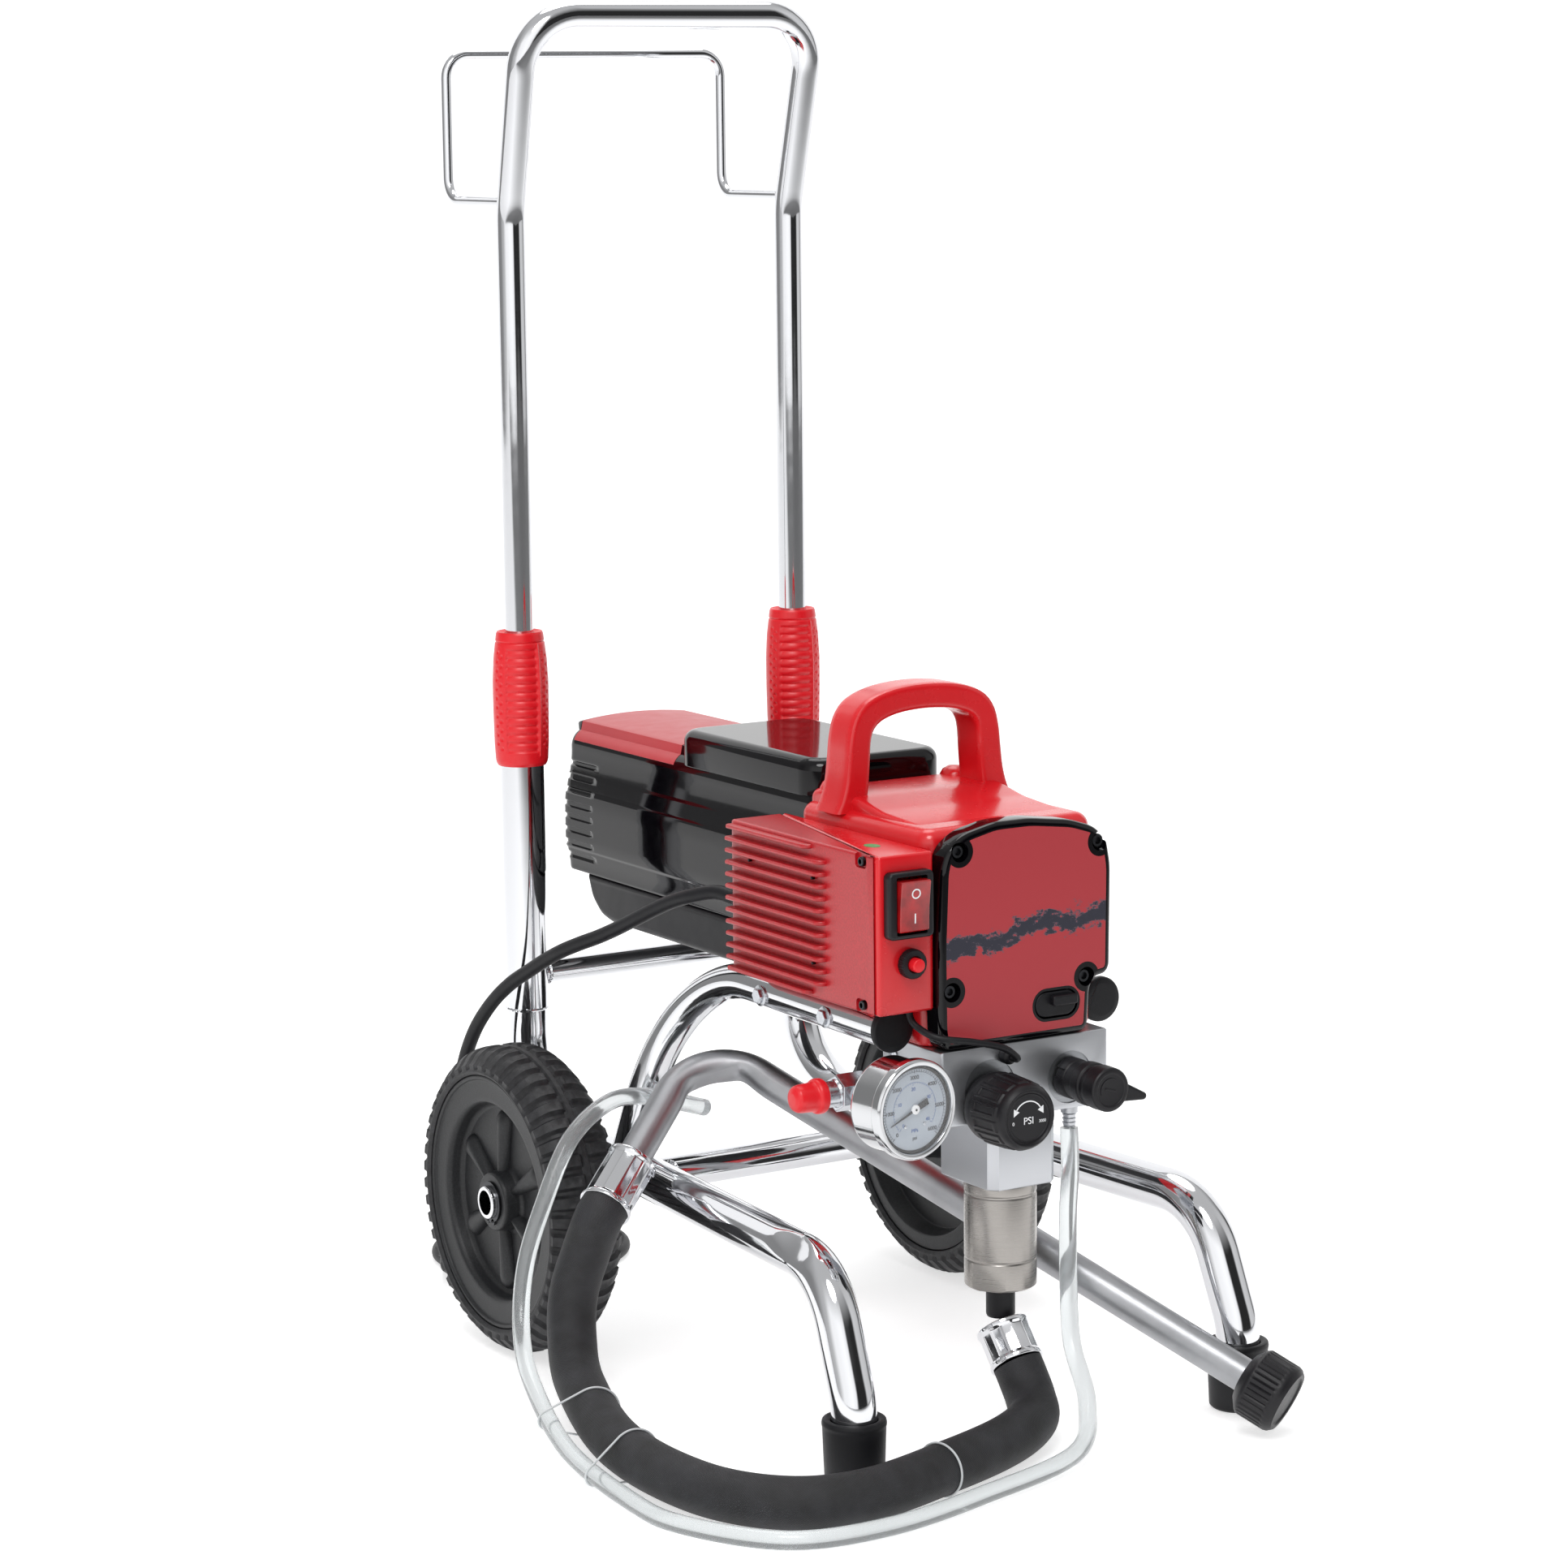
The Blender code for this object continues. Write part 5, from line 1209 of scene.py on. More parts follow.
def motorShell():
    # sections across the machine, from front to rear: straight sides, chamfered shoulders, a low crown;
    # the side is stepped along its length and grooved at the rear, and the two ends are rounded
    half, split, top = motor["half"], motor["split"], motor["top"]
    side = [(half - 0.0005, split)] + [(half, z) for z in np.linspace(split + 0.001, 0.43, 90)]
    right = np.array(side + crownSection())
    left = right[::-1][1:] * [-1, 1]
    base = np.stack([np.linspace(-half + 0.004, half - 0.004, 9), np.full(9, split)], -1)
    loop = np.vstack([right, left, base])
    edge = 0.009
    a = np.linspace(0, math.pi / 2, 7)
    y = np.concatenate([motor["front"] + edge * (1 - np.cos(a)), np.linspace(motor["front"] + 0.012,
        motor["rear"] - 0.012, 110), motor["rear"] - edge * (1 - np.cos(a[::-1]))])
    drop = np.concatenate([edge * (1 - np.sin(a)), np.zeros(110), edge * (1 - np.sin(a[::-1]))])
    middle = np.array([0, (split + top) / 2])
    away = loop - middle
    size = np.abs(away).max(0)
    grid = middle + away[None] * (1 - drop[:, None, None] / size)
    grid = np.concatenate([grid[..., :1], 0 * grid[..., :1] + y[:, None, None], grid[..., 1:]], -1)
    rear = smoothstep(y, 0.12, 0.123)[:, None]
    grid[..., 0] -= np.sign(grid[..., 0]) * sideRelief(np.abs(grid[..., 0]), grid[..., 2], rear)
    rows, cols = grid.shape[:2]
    points = grid.reshape(-1, 3) + np.array([0, axleY, 0])
    faces = [quadGrid(rows, cols)[:, ::-1], np.arange(cols)[None],
             ((rows - 1) * cols + np.arange(cols))[::-1][None]]
    return points, faces


def motorCover():
    shapes = [motorShell()]
    plan = roundRect(0.118, 0.199, 0.02, 0, axleY - 0.1052, 8)
    shapes.append(slab(plan, 0.44, 0.4675, 0.009, 8, 0.001))
    for i in range(motor["ribs"]):
        z = 0.359 + i * 0.014
        bar = placed(slab(roundRect(0.096, 0.0066, 0.0026, 0, z, 4), 0, 0.003, 0.0012, 3),
            axes((-1, 0, 0), (0, 0, 1), (0, 1, 0), at(0, 0.169, 0)))
        shapes.append(bar)
    build("motor_hood", shapes, gloss, "cart", ("motor_cover",), sharp=35)
    side = np.array([(0.14, 0.333), (0.1325, 0.314), (0.118, 0.302), (0.1, 0.298), (-0.19, 0.298),
        (-0.196, 0.304), (-0.196, 0.333)])
    outline = softened(np.vstack([side, side[:1]]), 0.006)[:-1] + [axleY, 0]
    lower = placed(slab(outline[::-1], -0.059, 0.059, 0.006, 6), rightward((0, 0, 0)))
    build("motor_pan", lower, matt, "cart", ("motor_lower_cover",), sharp=35)
    half = np.array(crownSection())[3:]
    half[:, 0] -= sideRelief(half[:, 0], half[:, 1], 0)
    line = np.vstack([half, half[::-1][1:] * [-1, 1]])
    lift = np.array([1 + 0.0002 / motor["half"], 1.0])
    outline = np.vstack([line * lift + [0, 0.0002], (line - [0, 0.001])[::-1] * [0.985, 1]])
    build("motor_label", placed(prism(outline, -at(0, 0.16, 0)[1], -at(0, 0.002, 0)[1]), facing((0, 0, 0))),
          labelRed, "cart", sharp=35)


def arch(outer, inner, halfDepth, middleY, count=61):
    # a band between two curves, its section a squared-off oval: |x|^8 + |y|^8 = 1
    def fine(half):
        k = np.array(half, float)
        whole = np.vstack([k, k[::-1][1:] * [-1, 1]])
        return smoothPath(np.column_stack([whole, np.zeros(len(whole))]), 0.0005)[:, :2]
    o, i = fine(outer), fine(inner)
    t = np.linspace(0, 1, count)
    o = np.stack([np.interp(t, np.linspace(0, 1, len(o)), o[:, k]) for k in (0, 1)], 1)
    i = np.stack([np.interp(t, np.linspace(0, 1, len(i)), i[:, k]) for k in (0, 1)], 1)
    a = np.arange(56) * 2 * math.pi / 56
    size = (np.abs(np.cos(a)) ** 8 + np.abs(np.sin(a)) ** 8) ** (-1 / 8)
    across, depth = np.cos(a) * size, np.sin(a) * size
    mid, reach = (o + i) / 2, (o - i) / 2
    xz = mid[:, None] + across[None, :, None] * reach[:, None]
    points = np.stack([xz[..., 0], middleY + depth[None, :] * halfDepth + 0 * xz[..., 0], xz[..., 1]], -1)
    faces = [quadGrid(count, 56), np.arange(56)[::-1][None], ((count - 1) * 56 + np.arange(56))[None]]
    return points.reshape(-1, 3), faces


def gearHousing():
    # casting: body with rounded edges, sloping deck, carry handle with flared legs, pads for the arms
    half, bottom, top = 0.0722, 0.2873, 0.4405
    plan = roundRect(2 * half, 0.1675, 0.012, 0, at(0, -0.28875, 0)[1], 6)
    shapes = [slab(plan, bottom, top, 0.01, 8, 0.003)]
    side = np.array([(-0.364, 0.42), (-0.36, 0.4395), (-0.3, 0.444), (-0.269, 0.45), (-0.22, 0.4512),
        (-0.209, 0.447), (-0.209, 0.42)])
    outline = softened(np.vstack([side, side[:1]]), 0.006)[:-1] + [axleY, 0]
    shapes.append(placed(slab(outline[::-1], -0.064, 0.064, 0.005, 6), rightward((0, 0, 0))))
    outer = [(-0.0765, 0.438), (-0.0718, 0.447), (-0.0682, 0.46), (-0.0662, 0.476), (-0.0645, 0.491),
             (-0.0603, 0.5055),
             (-0.05, 0.5168), (-0.029, 0.5242), (0, 0.5266)]
    inner = [(-0.052, 0.438), (-0.049, 0.45), (-0.0478, 0.462), (-0.0468, 0.476), (-0.046, 0.487),
             (-0.0436, 0.4955),
             (-0.0365, 0.5018), (-0.0215, 0.5062), (0, 0.5078)]
    shapes.append(arch(outer, inner, 0.016, at(0, -0.25, 0)[1]))
    for s in (-1, 1):
        shapes.append(placed(revolve([(0, -0.004), (0.011, -0.004), (0.0108, 0.0025), (0.0085, 0.0065),
            (0.0045, 0.0088), (0, 0.0092)], 40),
                             along(at(s * 0.052, -0.224, 0.448), (0, 0, 1))))
        for y in (-0.222, -0.29):
            shapes.append(placed(revolve(softened([(0, 0), (0.0085, 0), (0.0085, 0.0022), (0, 0.0022)],
                0.0004), 32), along(at(s * 0.0721, y, armZ), (s, 0, 0))))
    build("gear_case", shapes, red, "cart", ("gear_housing",), sharp=35)
    for side_, s in sides:
        bolts = [placed(hexHead(), along(at(s * (armX + 0.0138), y, 0.2985), (s, 0, 0)))
                 for y in (-0.201, -0.289)]
        build(side_ + "_arm_bolts", bolts, zinc, "cart")


cover = {"front": -0.3905, "plug": (0.026, 0.3105), "screws": ((-0.055, 0.427), (0.064, 0.423),
    (-0.062, 0.329), (0.052, 0.327))}


def frontCover():
    # gloss frame with an inset label, four deep round screw pockets and the oval pocket of the oil plug
    outline = np.array([(0.07, 0.327), (0.0735, 0.332), (0.0745, 0.405), (0.071, 0.424), (0.06, 0.434),
        (0.04, 0.4405),
                        (0.005, 0.445), (-0.025, 0.445), (-0.05, 0.4395), (-0.064, 0.43), (-0.0695, 0.416),
                        (-0.072, 0.36),
                        (-0.0715, 0.3), (-0.068, 0.2873), (0.05, 0.2873), (0.0545, 0.292), (0.056, 0.318),
                        (0.06, 0.3255)])
    smooth = softened(np.vstack([outline, outline[:2]]), 0.006)[1:-1]
    front, back = at(0, cover["front"], 0)[1], at(0, -0.3728, 0)[1]
    thickness = back - front
    base = build("cover_shell", placed(slab(smooth, 0, thickness, 0.0042, 6, 0.0004), facing((0, back, 0))),
                 gloss, "cart", ("front_cover",), sharp=35)
    pockets = [placed(revolve([(0, 0.004), (0.0064, 0.004), (0.007, 0.02), (0, 0.02)], 40),
        facing((x, back, z))) for x, z in cover["screws"]]
    x, z = cover["plug"]
    pockets.append(placed(prism(roundRect(0.037, 0.02, 0.0098, x, z, 8), 0.0092, 0.022),
        facing((0, back, 0))))
    carve(base, pockets, 35)
    sheet = inset(smooth, 0.0052)
    keep = sheet[:, 1] > 0
    label = build("cover_label", placed(slab(sheet[keep], thickness - 0.001, thickness + 0.0001, 0.0002),
        facing((0, back, 0))), splashLabel, "cart", sharp=35)
    holes = [placed(revolve([(0, 0), (0.0108, 0), (0.0108, 0.03), (0, 0.03)], 40), facing((x_, back, z_)))
             for x_, z_ in cover["screws"]]
    holes.append(placed(prism(roundRect(0.041, 0.024, 0.0118, x, z, 8), 0, 0.03), facing((0, back, 0))))
    carve(label, holes, 35)
    screws = [placed(socketScrew(0.0048, 0.0036), facing((x_, back - 0.011, z_))) for x_,
              z_ in cover["screws"]]
    screws += [placed(revolve([(0, 0), (0.003, 0), (0.003, 0.008), (0, 0.008)], 20),
        facing((x_, back - 0.0032, z_))) for x_, z_ in cover["screws"]]
    build("cover_screws", screws, darkSteel, "cart")
    plug = [placed(slab(roundRect(0.035, 0.018, 0.0089, x, z, 8), 0, 0.0082, 0.0014, 5),
                   facing((0, back - 0.0095, 0))),
            placed(slab(roundRect(0.021, 0.0072, 0.0018, x + 0.005, z + 0.003, 4), 0.006, 0.0135, 0.0012,
                4), facing((0, back - 0.0095, 0)))]
    build("plug_stopper", plug, rubber, "oil_plug", ("oil_plug",), sharp=35)


box = {"outer": -0.119, "inner": -0.0724, "front": -0.384, "bottom": 0.317, "top": 0.429, "fins": 13,
       "proud": 0.0085, "rocker": (-0.0955, 0.3945), "breaker": (-0.0925, 0.3525)}


def planSlab(plan, bottom, top, edge=0.0022):
    p = np.array(plan, float)
    line = softened(np.vstack([p, p[:2]]), 0.0032)[1:-1]
    return slab(line + [0, axleY], bottom, top, edge, 4)


def controlBox():
    # switch box and finned heat sink, parted on a diagonal
    bottom, top = box["bottom"], box["top"]
    inner = box["inner"]
    plan = [(inner, -0.3838), (inner, -0.1905), (-0.0765, -0.1905), (-0.118, -0.377), (-0.118, -0.3838)]
    case = build("switch_case", planSlab(plan if turning(plan) > 0 else plan[::-1], bottom, top), red,
                 "cart", ("control_box",), sharp=35)
    x, z = box["breaker"]
    pocket = [placed(prism(roundRect(0.031, 0.043, 0.002, *box["rocker"], 3), -0.004, 0.02),
                     facing(at(0, -0.368, 0))),
              placed(revolve([(0, -0.001), (0.0056, -0.001), (0.0056, 0.03), (0, 0.03)], 32),
                  facing(at(x, -0.368, z)))]
    carve(case, pocket, 35)
    plan = [(-0.0771, -0.1901), (-0.119, -0.1901), (-0.1205, -0.194), (-0.1205, -0.31), (-0.1192, -0.38),
            (-0.1186, -0.3765)]
    shapes = [planSlab(plan if turning(plan) > 0 else plan[::-1], bottom, top, 0.002)]
    root, tip = -0.117, box["outer"] - box["proud"]
    pitch = (top - bottom - 0.008) / (box["fins"] - 1)
    for i in range(box["fins"]):
        z = bottom + 0.004 + i * pitch
        front = -0.32 if 0 < i < box["fins"] - 1 else -0.302
        reach = tip if 0 < i < box["fins"] - 1 else tip + 0.001
        outline = [(root, front)] + [(root, -0.193)] + [(reach + 0.0015, -0.193),
            (reach, -0.1945)] + arc(reach + 0.007, front + 0.007, 0.007, 180, 270, 8)
        outline = np.array(outline) + [0, axleY]
        outline = outline if turning(outline) > 0 else outline[::-1]
        shapes.append(slab(outline, z - 0.0016, z + 0.0016, 0.0011, 3))
    sink = build("finned_sink", shapes, finRed, "cart", ("heat_sink",), sharp=35)
    notches = [placed(prism(roundRect(0.014, 0.013, 0.003, at(0, -0.364, 0)[1], z, 4), -0.004, 0.0035),
        rightward((-0.1205, 0, 0))) for z in (top - 0.0035, bottom + 0.0035)]
    carve(sink, notches, 35)
    screws = [placed(socketScrew(0.0034, 0.003), leftward(at(-0.1172, -0.364, z)))
              for z in (top - 0.0055, bottom + 0.0055)]
    pins = [placed(revolve([(0, 0), (0.0011, 0), (0.0011, 0.003), (0.0006, 0.0034), (0, 0.0034)], 16),
        leftward(at(-0.12, y, bottom + 0.004 + (k + 0.5) * pitch))) for y, k in ((-0.305, 2), (-0.305, 9),
            (-0.22, 9))]
    build("sink_screws", screws + pins, darkSteel, "cart")
    sticker = slab(np.array(arc(0, 0, 1, 0, 360, 40)[:-1]) * [0.0052, 0.0072] + [-0.096,
        at(0, -0.342, 0)[1]], top - 0.0002, top + 0.0002, 0.0001)
    build("earth_sticker", sticker, plainInk("greenInk", "3E8F4E"), "cart")


def turning(outline):
    # twice the signed area: positive for counter-clockwise
    p = np.asarray(outline, float)
    q = np.roll(p, -1, 0)
    return float((p[:, 0] * q[:, 1] - p[:, 1] * q[:, 0]).sum())


def switchGear():
    front = at(0, box["front"], 0)[1]
    x, z = box["rocker"]
    outer = slab(roundRect(0.037, 0.047, 0.004, x, z, 5), 0.0003, 0.0078, 0.0022, 5, 0.0002)
    frame_ = build("bezel_frame", placed(outer, facing((0, front, 0))), matt, "cart", ("switch_bezel",),
                   sharp=35)
    carve(frame_, [placed(prism(roundRect(0.0252, 0.0408, 0.0012, x, z, 3), -0.002, 0.012),
        facing((0, front, 0)))], 35)
    half = 0.018
    side = [(-0.0112, 0.0)] + [(-0.0134, half - 0.001), (-0.0122, half - 0.0002), (-0.0075, half)] + arc(0,
        0, half, 70, -70, 14) + [(-0.0075, -half), (-0.0098, -half + 0.0002), (-0.0106, -half + 0.001)]
    side = np.array(side)
    side = side if turning(side) > 0 else side[::-1]
    rocker = placed(slab(side, -0.0119, 0.0119, 0.0007, 3), rightward((x, front - 0.0004, z)))
    build("rocker_cap", rocker, lampRed, "rocker", ("rocker",), sharp=30)
    tilt = math.atan2(0.0022, half)
    ring = revolve([(0.0027, 0), (0.0036, 0), (0.0036, 0.0003), (0.0027, 0.0003)], 36)
    upper = axes((1, 0, 0), (0, -math.sin(tilt), math.cos(tilt)), (0, -math.cos(tilt), -math.sin(tilt)),
                 (x, front - 0.0004 - 0.0123, z + 0.009))
    lower = axes((1, 0, 0), (0, math.sin(-0.0333), math.cos(0.0333)), (0, -1, 0),
                 (x, front - 0.0004 - 0.0109, z - 0.0085))
    build("rocker_marks", [placed(ring, upper),
        placed(slab(roundRect(0.001, 0.007, 0.0004), 0, 0.0003, 0.0001), lower)], whiteInk, "rocker")
    place = facing((box["breaker"][0], front, box["breaker"][1]))
    knurl = lambda a, r, h: r - 0.00035 * (np.cos(a * 40) < 0) * (r > 0.0095)
    collar = [(0.0056, 0.0003), (0.0104, 0.0003), (0.0105, 0.001), (0.0105, 0.005), (0.0098, 0.0063),
              (0.0062, 0.0065), (0.0056, 0.006)]
    build("breaker_ring", placed(revolve(collar, 160, knurl), place), matt, "cart", ("breaker_collar",),
          sharp=30)
    button = [(0, -0.0135), (0.0049, -0.0135), (0.0049, 0.011), (0.0043, 0.0122), (0, 0.0125)]
    build("breaker_cap", placed(revolve(softened(button, 0.0006), 40), place), gripRed, "breaker_button",
          ("breaker_button",))
    node = "cord_gland"
    ribs = [(0, 0.0006), (0.01, 0.0006), (0.01, 0.004)]
    for i in range(5):
        r = 0.0094 - 0.0005 * i
        ribs += [(r, 0.0045 + i * 0.003), (r, 0.0062 + i * 0.003), (r - 0.0014, 0.0066 + i * 0.003),
                 (r - 0.0014, 0.0073 + i * 0.003)]
    ribs += [(0.0065, 0.02), (0, 0.02)]
    build("gland_sleeve", placed(revolve(softened(ribs, 0.0003), 40), along(at(-0.102, -0.19, 0.365),
        (0, 1, 0))), rubber, "cart", (node,))




recesses = ((-0.03, 0.256, 0.0215), (0.038, 0.256, 0.019))      # x, z and radius behind each knob


def pumpBody():
    # milled manifold with a narrower body below it, and a counterbore behind each knob
    bottom, step, top = low("pump_block")[2], 0.233, high("pump_block")[2]
    front, back = low("pump_block")[1], high("pump_block")[1]
    middle = (front + back) / 2
    shapes = [slab(roundRect(0.142, back - front, 0.0022, 0, middle, 3), step, top, 0.0012, 3)]
    reach = 0.065
    plan = np.array([(-0.0225, front + 0.0006), (0.0225, front + 0.0006), (0.0285, front + 0.0066),
        (0.0285, front + reach), (-0.0285, front + reach), (-0.0285, front + 0.0066)])
    shapes.append(slab(plan if turning(plan) > 0 else plan[::-1], bottom, step + 0.001, 0.0012, 3))
    barb = [(0, 0.0), (0.0062, 0.0), (0.0062, 0.006), (0.0042, 0.0068), (0.005, 0.0072), (0.0042, 0.0098),
            (0.005, 0.0102), (0.0042, 0.0128), (0.005, 0.0132), (0.004, 0.0168), (0, 0.0168)]
    shapes.append(placed(revolve(barb, 32), along(at(0.046, -0.378, step + 0.0002), (0, 0, -1))))
    body = build("milled_block", shapes, milled, "cart", ("pump_block",), sharp=30)
    pockets = [placed(revolve([(0, -0.0014), (r, -0.0014), (r, 0.02), (0, 0.02)], 64),
        facing((x, front, z))) for x, z, r in recesses]
    carve(body, pockets, 30)
    # the discs in the counterbores get the darker recess metal: painted shade in the hollows behind the knobs
    discs = [placed(revolve([(0, -0.002), (r - 0.0003, -0.002), (r - 0.0003, -0.0012), (0, -0.0012)], 64),
                    facing((x, front, z))) for x, z, r in recesses]
    build("block_recess_shade_discs", discs, recessPaintedShadeMetal, "cart")
    plugs = [placed(socketScrew(0.0052, 0.001), leftward((-0.071, at(0, y, 0)[1], z))) for y,
             z in ((-0.329, 0.274),)]
    build("block_plugs", plugs, zinc, "cart")


def inletCylinder():
    # turned cylinder with shallow grooves and two wrench flats, on its black swivel and crimped ferrule
    bottom, top, r = low("inlet_housing")[2], high("inlet_housing")[2], 0.026
    y = centre("inlet_housing")[1]
    profile = [(0, bottom), (r - 0.002, bottom), (r, bottom + 0.0016), (r, bottom + 0.02),
               (r - 0.0005, bottom + 0.0206), (r - 0.0005, bottom + 0.0216), (r, bottom + 0.0222),
               (r, top - 0.01), (r - 0.0006, top - 0.0096), (r - 0.0006, top - 0.008), (r, top - 0.0076),
               (r, top - 0.0012), (r - 0.0012, top), (0, top)]
    to = axes((1, 0, 0), (0, 1, 0), (0, 0, 1), (0, y, 0))
    body = build("turned_cylinder", placed(revolve(softened(profile, 0.0004, 3), 96), to), stainless,
                 "cart", ("inlet_housing",), sharp=30)
    flats = []
    for degrees in (215, 35):
        a = math.radians(degrees)
        brick = prism(np.array([(0.0228, -0.03), (0.0428, -0.03), (0.0428, 0.03), (0.0228, 0.03)]),
            bottom - 0.02, bottom + 0.02)
        flats.append(placed(spun(brick, a), to))
    carve(body, flats, 30)
    stub = [(0, low("suction_stub")[2]), (0.0098, low("suction_stub")[2]),
        (0.0105, low("suction_stub")[2] + 0.002), (0.0105, 0.099), (0.011, 0.0995), (0.011, 0.1026),
        (0, 0.1026)]
    build("swivel_stub", placed(revolve(softened(stub, 0.0004), 48), to), rubber, "cart", ("suction_stub",))


def crimped(length, radius, facets=14, bite=0.0012):
    # a ferrule: flared lips at both ends and long flats pressed into it between them
    profile = np.array([(radius - 0.003, 0), (radius - 0.0004, 0), (radius, 0.0008), (radius, 0.003),
        (radius - bite, 0.0052),
                        (radius - bite, length - 0.0052), (radius, length - 0.003),
                        (radius, length - 0.0008), (radius - 0.0004, length), (radius - 0.003, length)])
    def pressed(a, r, z):
        inside = smoothstep(z, 0.003, 0.006) * (1 - smoothstep(z, length - 0.006,
            length - 0.003)) * (r > radius - 0.0025)
        phase = np.mod(a * facets / (2 * math.pi), 1.0) - 0.5
        return r - inside * 0.0007 * np.cos(math.pi * phase) ** 0.6
    return revolve(softened(profile, 0.0005, 3), 168, pressed)


def suctionLine():
    lower = ferruleAxis
    top = footMiddle - lower * 0.015
    lowerShape = [placed(crimped(0.0298, suction["ferrule"] / 2), along(top, lower)),
        placed(revolve([(0, 0.001), (0.0175, 0.001), (0.0175, 0.0288), (0, 0.0288)], 40), along(top, lower))]
    build("lower_crimp", lowerShape, chrome, "cart", ("lower_ferrule",), sharp=25)
    foot = hoseTop - upDirection * 0.0457
    upperShape = [placed(crimped(0.0455, suction["ferrule"] / 2), along(foot, upDirection)),
        placed(revolve([(0, 0.001), (0.0172, 0.001), (0.0172, 0.0445), (0, 0.0445)], 40),
               along(foot, upDirection))]
    build("upper_crimp", upperShape, chrome, "cart", ("upper_ferrule",), sharp=25)
    path = evened(bent([tuple(strainerEnd), (*cornerAt, 0.045), tuple(foot - upDirection * 0.0003)], 2.5),
                  0.004)
    shape = sweep(path, circle(suction["tube"] / 2, 48))
    into = (strainerEnd - cornerAt) / np.linalg.norm(strainerEnd - cornerAt)
    middle = into + upDirection
    inner = path[np.argmin(np.linalg.norm(path - cornerAt, axis=1))]
    shape = dented(shape, inner, -(cornerAt - inner) if np.linalg.norm(cornerAt - inner) > 0.001
                   else middle, suction["tube"] / 2, 0.8, 0.03)
    build("suction_pipe", shape, tubeMetal, "cart", ("suction_tube",))
    down = (strainerEnd - cornerAt) / np.linalg.norm(strainerEnd - cornerAt)
    r, length = 0.026, 0.036
    def slotted(a, radius, z):
        wall = smoothstep(z, 0.009, 0.01) * (1 - smoothstep(z, 0.028, 0.029)) * (radius > 0.022)
        return radius - wall * 0.0011 * (np.cos(a * 36) > 0.1)
    profile = [(0, 0.0004), (0.015, 0.0004), (0.018, 0.0012), (0.0245, 0.0062), (0.0258, 0.0078),
               (0.026, 0.0088), (0.026, 0.0095), (0.026, 0.0105), (0.026, 0.019),
               (0.026, 0.0275), (0.026, 0.0286), (0.026, 0.0305), (0.0252, 0.033), (0.0225, length),
               (0.0195, length), (0.0185, length - 0.0012), (0, length - 0.0012)]
    build("strainer_cap", placed(revolve(profile, 144, slotted), along(strainerEnd, down)), matt, "cart",
          ("strainer",), sharp=30)


gauge = {"case": 0.033, "bezel": 0.0352, "near": 0.0402, "far": 0.0744, "turn": 7, "sweep": 270}


def gaugePlace(distance, x=0.0, z=0.0):
    # a point in front of the fitting by this distance along the gauge's axis
    a = math.radians(gauge["turn"])
    base = np.array([-0.124 + x * math.cos(a), at(0, -0.353, 0)[1] + x * math.sin(a), 0.26 + z])
    return base + np.array([math.sin(a), -math.cos(a), 0]) * distance


def dialAt(distance):
    # local X and Y lie in the dial, local Z looks out of it
    a = math.radians(gauge["turn"])
    return axes((math.cos(a), math.sin(a), 0), (0, 0, 1), (math.sin(a), -math.cos(a), 0),
                gaugePlace(distance))


